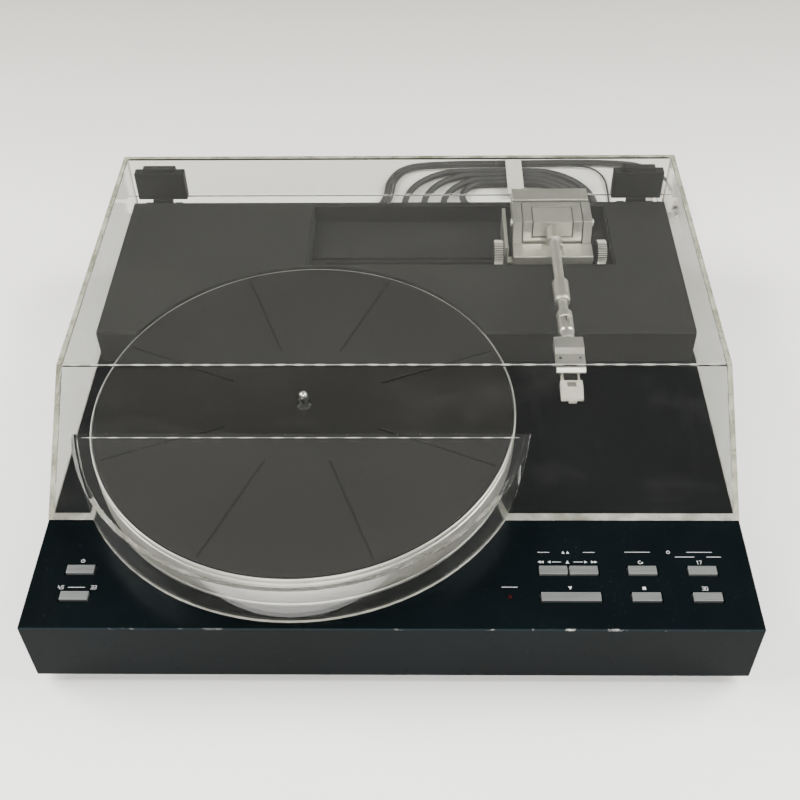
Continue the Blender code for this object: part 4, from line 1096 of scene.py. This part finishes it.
def flat_marks(name, outlines, lift):
    """Printed marks: each outline of (x, distance behind the front) becomes a thin flat plate."""
    points, faces = [], []
    deck = DECK_Z + 0.00001
    for outline in outlines:
        count = len(outline)
        start = len(points)
        for z in (deck, deck + lift):
            points += [(x, behind(depth), z) for x, depth in outline]
        faces.append(tuple(range(start + count - 1, start - 1, -1)))
        faces.append(tuple(range(start + count, start + 2 * count)))
        for i in range(count):
            j = (i + 1) % count
            faces.append((start + i, start + j, start + count + j, start + count + i))
    return piece(name, points, faces, "button", "plinth", finish="print")


def oblong(x_low, x_high, low, high):
    """A rectangle between two distances behind the front."""
    return [(x_low, low), (x_high, low), (x_high, high), (x_low, high)]


def bar(x_low, x_high, depth, thick=0.00035):
    """A printed line along X."""
    return oblong(x_low, x_high, depth - thick / 2, depth + thick / 2)


def side_arrow(x, depth, size, heading):
    """A triangle that points left (-1) or right (1)."""
    side = heading * size
    return [(x - side, depth - size), (x + side, depth), (x - side, depth + size)]


def end_arrow(x, depth, size, heading):
    """A triangle that points to the back (1) or to the front (-1)."""
    side = heading * size
    return [(x - size, depth - side), (x + size, depth - side), (x, depth + side)]


def hoop(middle, inner, outer, start, end, steps=20):
    """A band of a circle between two angles in degrees: an outer arc, then the inner arc back."""
    angle = np.radians(np.linspace(start, end, steps))
    arc = np.stack([np.cos(angle), np.sin(angle)], axis=1)
    return np.vstack([middle + outer * arc, (middle + inner * arc)[::-1]]).tolist()


# Strokes of each numeral on a cell 1 wide and 2 high, as corner points.
NUMERALS = {
    "0": [[(0, 0), (1, 0), (1, 2), (0, 2), (0, 0)]],
    "1": [[(0.3, 1.6), (0.6, 2), (0.6, 0)]],
    "3": [[(0, 2), (1, 2), (1, 0), (0, 0)], [(0.2, 1), (1, 1)]],
    "4": [[(0, 2), (0, 0.8), (1, 0.8)], [(0.75, 1.4), (0.75, 0)]],
    "5": [[(1, 2), (0, 2), (0, 1.1), (1, 1.1), (1, 0), (0, 0)]],
    "7": [[(0, 2), (1, 2), (0.4, 0)]],
}


def numeral_outlines(text, x, depth, height=0.0026, thick=0.00034):
    """Each stroke of each numeral as a thin four-sided bar."""
    made = []
    unit = height / 2
    for number, digit in enumerate(text):
        left = x + number * unit * 1.55
        for stroke in NUMERALS[digit]:
            places = [np.array((left + u * unit * 1.05, depth + v * unit)) for u, v in stroke]
            for start, end in zip(places, places[1:]):
                along = (end - start) / np.linalg.norm(end - start)
                side = np.array((-along[1], along[0])) * thick / 2
                start, end = start - along * thick / 2, end + along * thick / 2
                made.append([tuple(p) for p in (start - side, end - side, end + side, start + side)])
    return made


def panel_marks():
    """The symbols by the keys: a power sign, two speeds, arm arrows, group lines and two record sizes."""
    upper, middle, lower = 0.0592, 0.0515, 0.0312
    marks = [hoop((-0.2030, 0.0517), 0.00100, 0.00135, 120, 420)]
    marks.append(oblong(-0.20318, -0.20282, 0.0517, 0.0534))
    marks += numeral_outlines("45", -0.2148, 0.0297)
    marks += numeral_outlines("33", -0.1935, 0.0297)
    marks.append(bar(-0.2085, -0.1975, 0.0310))
    marks += [bar(0.0962, 0.1040, upper), bar(0.1260, 0.1338, upper)]
    marks += [end_arrow(0.1130 + 0.0030 * i, upper, 0.0010, 1) for i in range(2)]
    arm_x = 0.1152
    for side in (-1, 1):
        marks += [side_arrow(arm_x + side * x, middle, 0.0010, side) for x in (0.0185, 0.0165, 0.0120)]
        marks.append(bar(*sorted((arm_x + side * 0.0100, arm_x + side * 0.0040)), middle))
    marks += [end_arrow(arm_x, middle, 0.0012, 1), end_arrow(arm_x, lower, 0.0012, -1)]
    marks += [bar(0.1533, 0.1700, 0.0594), bar(0.1940, 0.2107, 0.0594)]
    marks += [hoop((0.1820, 0.0594), 0.00085, 0.00120, start, start + 180) for start in (0, 180)]
    marks += [bar(0.1860, 0.1985, 0.0556), bar(0.2065, 0.2160, 0.0556)]
    marks += [hoop((0.1625, 0.0513), 0.00095, 0.00130, 60, 330), end_arrow(0.1639, 0.0507, 0.0007, -1)]
    marks.append(oblong(0.1614, 0.1636, 0.0300, 0.0322))
    marks += numeral_outlines("17", 0.1992, 0.0500)
    marks += numeral_outlines("30", 0.1996, 0.0297)
    marks.append(bar(0.0712, 0.0815, 0.0318))
    return marks


class PLAYER_OT_plinth(bpy.types.Operator):
    """Refine the plinth, the keys, the feet and the printed symbols."""

    bl_idname = "player.plinth"
    bl_label = "Plinth and keys"

    def execute(self, context):
        sizes = context.scene.player_sizes
        refined("plinth_shell", 0.0005, 3)
        for key in KEYS:
            refined(key, 0.00035, 3)
        refined("lock_lamp", 0.0)
        flat_marks("panel_print", panel_marks(), sizes.mark_lift)
        for row in ("front", "rear"):
            for side in ("left", "right"):
                self.make_foot(f"foot_{row}_{side}")
        return {"FINISHED"}

    def make_foot(self, node):
        """A rubber foot: a drum with a recessed groove and a slightly domed sole."""
        low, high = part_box(node)
        wide, tall = (high.x - low.x) / 2, high.z - low.z
        profile = [(AXIS_GAP, 0.0004), (wide - 0.0060, 0.0004), (wide - 0.0050, 0.0), (wide - 0.0015, 0.0)]
        profile += [(wide, 0.0015), (wide, tall * 0.45), (wide - 0.0010, tall * 0.50)]
        profile += [(wide - 0.0010, tall * 0.62), (wide, tall * 0.67), (wide, tall - 0.0010)]
        profile += [(wide - 0.0010, tall), (AXIS_GAP, tall)]
        middle = ((low.x + high.x) / 2, (low.y + high.y) / 2, low.z)
        turned_piece(f"{node}_fine", profile, middle, UP, "rubber", "plinth", (node,), 72)


# Platter


class PLAYER_OT_platter(bpy.types.Operator):
    """Build the turned platter, its grooved mat and the spindle."""

    bl_idname = "player.platter"
    bl_label = "Platter"

    def execute(self, context):
        self.make_platter()
        self.make_mat(context.scene.player_sizes)
        self.make_spindle()
        return {"FINISHED"}

    def make_spindle(self):
        """A pin with a rounded tip."""
        low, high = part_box("spindle")
        r = (high.x - low.x) / 2
        top = high.z
        profile = [(AXIS_GAP, low.z), (r - 0.001, low.z), (r, low.z + 0.001), (r, top - 0.0045)]
        profile += [(r - 0.0003, top - 0.0025), (r - 0.0014, top - 0.0007), (0.0006, top), (AXIS_GAP, top)]
        origin = (*PLATTER_AT, 0.0)
        turned_piece("spindle_fine", profile, origin, UP, "steel", "platter", ("spindle",), 64, 0.0008)

    def make_platter(self):
        """The turned profile: a web, a hollow rim, and a polished side with one fine groove below its lip."""
        rim, low = PLATTER_RADIUS, PLATTER_LOW.z
        seat = MAT_LOW.z - 0.0003
        lip = MAT_RADIUS + 0.0004
        bore, boss_low, web_low, top = 0.0039, 0.0748, 0.0795, PLATTER_HIGH.z
        profile = [
            (bore, boss_low),
            (0.0600, boss_low),
            (0.0610, web_low),
            (rim - 0.0080, web_low),
            (rim - 0.0065, 0.0780),
            (rim - 0.0065, low),
            (rim - 0.0014, low),
            (rim - 0.0004, low + 0.0010),
            (rim - 0.0004, low + 0.0028),
            (rim - 0.0012, low + 0.0032),
            (rim - 0.0012, low + 0.0040),
            (rim - 0.0002, low + 0.0044),
            (rim, 0.0858),
            (rim - 0.0010, 0.0863),
            (rim - 0.0010, 0.0877),
            (rim, 0.0882),
            (rim, 0.0904),
            (rim - 0.0008, top),
            (lip + 0.0002, top),
            (lip, seat),
            (bore, seat),
        ]
        origin = (*PLATTER_AT, 0.0)
        replaced = ("platter",)
        turned_piece(
            "platter_fine", profile, origin, UP, "platter_metal", "platter", replaced, 240, 0.0004, ring=True
        )

    def make_mat(self, sizes):
        """A flat rubber disc whose top is cut by straight grooves. A point at radius r beside the groove at
        angle g lies at g + offset / r, so that the groove keeps its width, and the points between two
        grooves share out the rest of the turn evenly."""
        count, half = sizes.groove_count, sizes.groove_width / 2
        offsets = np.array([-half, -half * 0.7, half * 0.7, half])
        sunk = np.array([0.0, 1.0, 1.0, 0.0])
        between = np.linspace(0.0, 1.0, 27)[1:-1]
        radii = np.concatenate(
            [
                np.linspace(0.0050, sizes.groove_start, 14)[:-1],
                [sizes.groove_start, sizes.groove_start + 0.0008],
                np.linspace(sizes.groove_start, MAT_RADIUS - 0.0035, 26)[1:],
                [MAT_RADIUS - 0.0027, MAT_RADIUS - 0.0008],
            ]
        )
        cut_from, cut_to = sizes.groove_start + 0.0004, MAT_RADIUS - 0.0031
        first = sizes.groove_turn + 2 * math.pi * np.arange(count) / count
        step = 2 * math.pi / count
        narrow = half / radii[:, None, None]
        grooved = first[None, :, None] + offsets[None, None, :] / radii[:, None, None]
        spread = first[None, :, None] + narrow + between[None, None, :] * (step - 2 * narrow)
        angle = np.concatenate([grooved, spread], axis=2).reshape(len(radii), -1)
        depth = np.tile(np.concatenate([sunk, np.zeros(len(between))]), count)[None, :]
        inside = ((radii > cut_from) & (radii < cut_to))[:, None]
        height = MAT_HIGH.z - sizes.groove_depth * depth * inside
        top = np.stack([radii[:, None] * np.cos(angle), radii[:, None] * np.sin(angle), height], axis=-1)
        closing = []
        for radius, z in (
            (MAT_RADIUS - 0.0002, MAT_HIGH.z - 0.0002),
            (MAT_RADIUS, MAT_HIGH.z - 0.0008),
            (MAT_RADIUS, MAT_LOW.z + 0.0003),
            (MAT_RADIUS - 0.0003, MAT_LOW.z),
            (radii[0], MAT_LOW.z),
        ):
            edge = angle[-1] if radius > radii[0] else angle[0]
            ring = (radius * np.cos(edge), radius * np.sin(edge), np.full_like(edge, z))
            closing.append(np.stack(ring, axis=-1))
        rows = np.concatenate([top, np.array(closing)])
        rows[..., 0] += PLATTER_AT[0]
        rows[..., 1] += PLATTER_AT[1]
        faces = grid_faces(rows.shape[0], rows.shape[1], row_loop=True)
        piece("platter_mat_fine", rows, faces, "mat", "platter", ("platter_mat",), 30.0)


# Housing


class PLAYER_OT_housing(bpy.types.Operator):
    """Refine the raised arm housing and its tray."""

    bl_idname = "player.housing"
    bl_label = "Arm housing"

    def execute(self, context):
        refined("rear_block", 0.0005, 2)
        refined("arm_trough", 0.0003, 2)
        refined("guide_rod", 0.0)
        return {"FINISHED"}


# Carriage and arm


def screw_head(name, place, radius, body, slot, height):
    """A low turned screw head, chamfered round its top."""
    sunk = -0.0004
    profile = [(AXIS_GAP, sunk), (radius, sunk), (radius, height * 0.6)]
    profile += [(radius * 0.8, height), (AXIS_GAP, height)]
    turned_piece(name, profile, place, UP, slot, body, (), 32, 0.0002)


def ridge_plate(name, body, x_range, y_range, z_range, count):
    """Fine ridges along X: at the share t of the way across them, the surface stands
    ridge * (1 - cos(2 pi count t)) / 2 above the line from its start to its end."""
    t = np.linspace(0.0, 1.0, count * 8 + 1)
    start = np.array([y_range[0], z_range[0]])
    end = np.array([y_range[1], z_range[1]])
    along = end - start
    normal = np.array([-along[1], along[0]]) / np.linalg.norm(along)
    normal *= np.sign(normal[1])
    ridge, sunk = 0.00012, 0.00015
    height = ridge * (1 - np.cos(2 * math.pi * count * t)) / 2
    line = start + t[:, None] * along + height[:, None] * normal
    under = (start + t[:, None] * along - sunk * normal)[::-1]
    outline = np.vstack([line, under])
    x = np.array(x_range)
    points = np.stack(np.broadcast_arrays(x[:, None], outline[None, :, 0], outline[None, :, 1]), axis=-1)
    return piece(name, points, grid_faces(2, len(outline)), "arm_metal", body, angle=60.0)


class PLAYER_OT_carriage(bpy.types.Operator):
    """Refine the carriage, its yoke, pivot screws and ridged dials."""

    bl_idname = "player.carriage"
    bl_label = "Carriage"

    def execute(self, context):
        sizes = context.scene.player_sizes
        refined("carriage_base", sizes.edge, 3)
        refined("carriage_yoke", sizes.edge, 3)
        for side in ("left", "right"):
            self.make_pivot_screw(side)
        for node in ("height_dial", "force_dial"):
            self.make_dial(node, sizes)
        for number, x in enumerate((-0.0125, 0.0125)):
            place = (ARM_X + x, behind(0.3285), 0.0995)
            screw_head(f"bar_screw_{number + 1}", place, 0.0017, "carriage", "arm_metal", 0.0005)
        return {"FINISHED"}

    def make_pivot_screw(self, side):
        """A cone-pointed pivot screw with a domed end."""
        node = f"pivot_screw_{side}"
        low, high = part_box(node)
        sign = 1 if side == "right" else -1
        origin = (low.x if sign > 0 else high.x, (low.y + high.y) / 2, (low.z + high.z) / 2)
        profile = [(AXIS_GAP, 0.0), (0.0025, 0.0003), (0.0025, 0.0076), (0.0032, 0.0078), (0.0032, 0.0090)]
        profile += [(0.0026, 0.0095), (0.0014, 0.0098), (AXIS_GAP, 0.0098)]
        turned_piece(f"{node}_fine", profile, origin, (sign, 0, 0), "steel", "carriage", (node,), 48)

    def make_dial(self, node, sizes):
        """A dial with n ridges of depth d, chamfered at its ends: where the ridges are whole, the radius at
        angle a is R + d (tanh(3 cos(n a)) / tanh(3) - 1) / 2."""
        low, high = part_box(node)
        y, z = (low.y + high.y) / 2, (low.z + high.z) / 2
        wide = (high.z - low.z) / 2
        angle = np.linspace(0.0, 2 * math.pi, sizes.dial_teeth * 16, endpoint=False)
        ridge = 0.00105
        tooth = ridge * (np.tanh(3 * np.cos(sizes.dial_teeth * angle)) / np.tanh(3.0) - 1) / 2
        start, end = (low.x, low.x + 0.0080) if node == "height_dial" else (high.x - 0.0078, high.x)
        stations = [
            (start, 0.0022, 0.0),
            (start + 0.0004, 0.0060, 0.0),
            (start, 0.0066, 0.0),
            (start, wide - 0.0012, 0.0),
            (start + 0.0006, wide - 0.0002, 0.6),
            (start + 0.0009, wide, 1.0),
            (end - 0.0009, wide, 1.0),
            (end - 0.0006, wide - 0.0002, 0.6),
            (end, wide - 0.0012, 0.0),
            (end, 0.0066, 0.0),
            (end - 0.0004, 0.0060, 0.0),
            (end, 0.0022, 0.0),
        ]
        x, radius, share = (column[:, None] for column in np.array(stations).T)
        reach = radius + share * tooth[None]
        ring = np.broadcast_arrays(x, y + reach * np.cos(angle), z + reach * np.sin(angle))
        points = np.stack(ring, axis=-1)
        faces = grid_faces(len(stations), len(angle))
        body = frame["nodes"][node]["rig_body"]
        piece(f"{node}_fine", points, faces, "arm_metal", body, (node,), 40.0, "dial")


class PLAYER_OT_arm(bpy.types.Operator):
    """Refine the gimbal, the arm, the headshell, the cartridge and the counterweight."""

    bl_idname = "player.arm"
    bl_label = "Arm"

    def execute(self, context):
        sizes = context.scene.player_sizes
        for node in ("arm_gimbal", "arm_block", "counterweight", "headshell"):
            refined(node, sizes.edge, 3)
        refined("cartridge", 0.0003, 2)
        refined("stylus_holder", 0.0003, 2)
        self.make_tube()
        self.make_details()
        return {"FINISHED"}

    def make_tube(self):
        """The tube with its rear boss, front sleeve, lock collar and socket, turned round its length."""
        profile = [
            (AXIS_GAP, 0.0000),
            (0.0056, 0.0000),
            (0.0056, 0.0146),
            (0.0060, 0.0149),
            (0.0060, 0.0158),
            (0.0038, 0.0168),
            (0.0038, 0.0656),
            (0.0058, 0.0657),
            (0.0063, 0.0665),
            (0.0063, 0.0868),
            (0.0060, 0.0872),
            (0.0060, 0.0878),
            (0.0056, 0.0887),
            (0.0036, 0.0890),
            (0.0036, 0.1008),
            (0.0056, 0.1010),
            (0.0060, 0.1018),
            (0.0060, 0.1080),
            (0.0054, 0.1084),
            (0.0054, 0.1088),
            (0.0060, 0.1092),
            (0.0060, 0.1215),
            (0.0053, 0.1228),
            (0.0053, 0.1302),
            (AXIS_GAP, 0.1302),
        ]
        origin = (ARM_X, TUBE_HIGH.y, ARM_Z)
        turned_piece("arm_tube_fine", profile, origin, (0, -1, 0), "arm_metal", "arm", ("arm_tube",))

    def make_details(self):
        """The headshell's screws, the collar's slot as a dark block of painted shade, the stylus holder's
        window and the block's ridges.
        """
        headshell_top, holder_top = 0.1137, 0.1066
        for number, x in enumerate((-0.0070, 0.0070)):
            place = (ARM_X + x, behind(0.1895), headshell_top)
            screw_head(f"headshell_screw_{number + 1}", place, 0.0012, "arm", "magnet", 0.0004)
        rear = TUBE_HIGH.y
        slot_low = (ARM_X - 0.0004, rear - 0.1150, ARM_Z + 0.0056)
        slot_high = (ARM_X + 0.0004, rear - 0.1100, ARM_Z + 0.0061)
        # Painted shade: a dark block stands in for the shade inside the collar's slot.
        piece("collar_slot", *block(slot_low, slot_high), "magnet", "arm", finish="dark")
        window_low = (ARM_X - 0.0032, behind(0.1694), holder_top - 0.0003)
        window_high = (ARM_X + 0.0032, behind(0.1738), holder_top)
        window = piece("holder_window", *block(window_low, window_high), "ivory", "arm", finish="shade")
        soften(window, 0.0001)
        across = (ARM_X - 0.0150, ARM_X + 0.0150)
        block_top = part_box("arm_block")[1].z - 0.00002
        top_y = (behind(0.3430), behind(0.3600))
        front_y = (behind(0.33975), behind(0.34140))
        ridge_plate("block_ridges_top", "arm", across, top_y, (block_top, block_top), 18)
        ridge_plate("block_ridges_front", "arm", across, front_y, (0.1058, 0.1172), 12)


# Cover and hinges


FLAT_HAZE, SLOPE_HAZE, WALL_HAZE = 0.0125, 0.0044, 0.010
RIM_WIDTH = 0.0019
BULGE_REACH = 0.0120


def face_widths(mesh):
    """Twice each face's area over its perimeter, which is near the width of a long narrow face."""
    ends = read(mesh.edges, "vertices", 2, np.int32)
    places = read(mesh.vertices, "co", 3)
    lengths = np.linalg.norm(places[ends[:, 0]] - places[ends[:, 1]], axis=1)
    sides = lengths[read(mesh.loops, "edge_index", 1, np.int32)]
    perimeters = np.add.reduceat(sides, read(mesh.polygons, "loop_start", 1, np.int32))
    return 2 * read(mesh.polygons, "area") / perimeters


class PLAYER_OT_cover(bpy.types.Operator):
    """Refine the clear cover and its hinges."""

    bl_idname = "player.cover"
    bl_label = "Cover"

    def execute(self, context):
        self.mark_faces(refined("dust_cover", 0.0003, 2).data)
        for side in ("left", "right"):
            refined(f"hinge_leaf_{side}", 0.0006, 3)
            refined(f"hinge_base_{side}", 0.0003, 2)
        # The glue joints are real. The pale rods that mark them, with their bright dashes, are painted
        # glints.
        bulge_seam, fold_seam = (0.1290, 0.0983), (0.1722, 0.1254)
        self.make_bead("bulge_glue_bead", PLATTER_AT[0], 0.1500, bulge_seam, radius=0.00028, pitch=0.0180)
        self.make_bead("fold_glue_bead", 0.0, 0.2300, fold_seam, radius=0.00060, pitch=0.0160)
        return {"FINISHED"}

    def mark_faces(self, mesh):
        """Marks the faces for the finish. Dust veils a face that looks up, the more the flatter it lies,
        and the bulge's curved wall is a little cloudy. A rim is a narrow face or one that rests on the
        deck."""
        normal = read(mesh.polygons, "normal", 3)
        middle = read(mesh.polygons, "center", 3)
        up, sideways = normal[:, 2], np.abs(normal[:, 0])
        away = np.hypot(middle[:, 0] - PLATTER_AT[0], middle[:, 1] - PLATTER_AT[1])
        curved = (np.abs(up) < 0.1) & (away < PLATTER_RADIUS + BULGE_REACH) & (sideways < 0.995)
        haze = np.select([up > 0.9, up > 0.2, curved], [FLAT_HAZE, SLOPE_HAZE, WALL_HAZE], 0.0)
        rim = (face_widths(mesh) < RIM_WIDTH) & ~curved | (middle[:, 2] < DECK_Z + 0.0005)
        marks = {
            "haze": haze * ~rim,
            "rim": rim,
            "level": up > 0.9,
            "lying": (sideways < 0.5) & ~curved & (middle[:, 2] > DECK_Z + 0.001),
            "standing": sideways > 0.995,
        }
        for name, values in marks.items():
            attribute = mesh.attributes.new(name, "FLOAT", "FACE")
            attribute.data.foreach_set("value", values.astype(np.float32))

    def make_bead(self, name, middle, half, seam, radius, pitch):
        """A seam of glue along X, drawn as a pale rod whose swellings are painted glints: its radius swells
        and thins along X as r (0.30 + 0.70 max(0, cos(2 pi x / pitch + sin(x / 11 mm)))^0.5)."""
        depth, z = seam
        x = np.arange(-half, half, pitch / 24)
        angle = np.linspace(0.0, 2 * math.pi, 12, endpoint=False)
        swell = np.maximum(0.0, np.cos(2 * math.pi * x / pitch + np.sin(x / 0.011))) ** 0.5
        reach = radius * (0.30 + 0.70 * swell)[:, None]
        y = behind(depth) + reach * np.cos(angle)
        up = z + reach * np.sin(angle)
        points = np.stack(np.broadcast_arrays(middle + x[:, None], y, up), axis=-1)
        piece(name, points, grid_faces(len(x), len(angle)), "acrylic", "cover", finish="bead")


class PLAYER_OT_rest(bpy.types.Operator):
    """Give every frame piece that still shows its finish."""

    bl_idname = "player.rest"
    bl_label = "Remaining finishes"

    def execute(self, context):
        table = finishes()
        for node, obj in frame["nodes"].items():
            obj.data.materials.clear()
            obj.data.materials.append(table[SLOT_OF[node]])
        return {"FINISHED"}


# Panel and registration


STEPS = (
    PLAYER_OT_stage,
    PLAYER_OT_leads,
    PLAYER_OT_plinth,
    PLAYER_OT_platter,
    PLAYER_OT_housing,
    PLAYER_OT_carriage,
    PLAYER_OT_arm,
    PLAYER_OT_cover,
    PLAYER_OT_rest,
)


class PLAYER_PT_panel(bpy.types.Panel):
    """Lists the steps in the order in which they run."""

    bl_idname = "PLAYER_PT_panel"
    bl_label = "Record player"
    bl_space_type = "VIEW_3D"
    bl_region_type = "UI"
    bl_category = "Player"

    def draw(self, context):
        for group in (context.scene.player_sizes, context.scene.player_colours):
            for name in group.bl_rna.properties.keys():
                if name not in ("rna_type", "name"):
                    self.layout.prop(group, name)
        for step in STEPS:
            self.layout.operator(step.bl_idname)


CLASSES = (PlayerSizes, PlayerColours, *STEPS, PLAYER_PT_panel)


def register():
    for made in CLASSES:
        bpy.utils.register_class(made)
    bpy.types.Scene.player_sizes = PointerProperty(type=PlayerSizes)
    bpy.types.Scene.player_colours = PointerProperty(type=PlayerColours)


def unregister():
    del bpy.types.Scene.player_colours
    del bpy.types.Scene.player_sizes
    for made in reversed(CLASSES):
        bpy.utils.unregister_class(made)


def main():
    register()
    bpy.ops.player.stage()
    bpy.ops.player.leads()
    bpy.ops.player.plinth()
    bpy.ops.player.platter()
    bpy.ops.player.housing()
    bpy.ops.player.carriage()
    bpy.ops.player.arm()
    bpy.ops.player.cover()
    bpy.ops.player.rest()


if __name__ == "__main__":
    main()
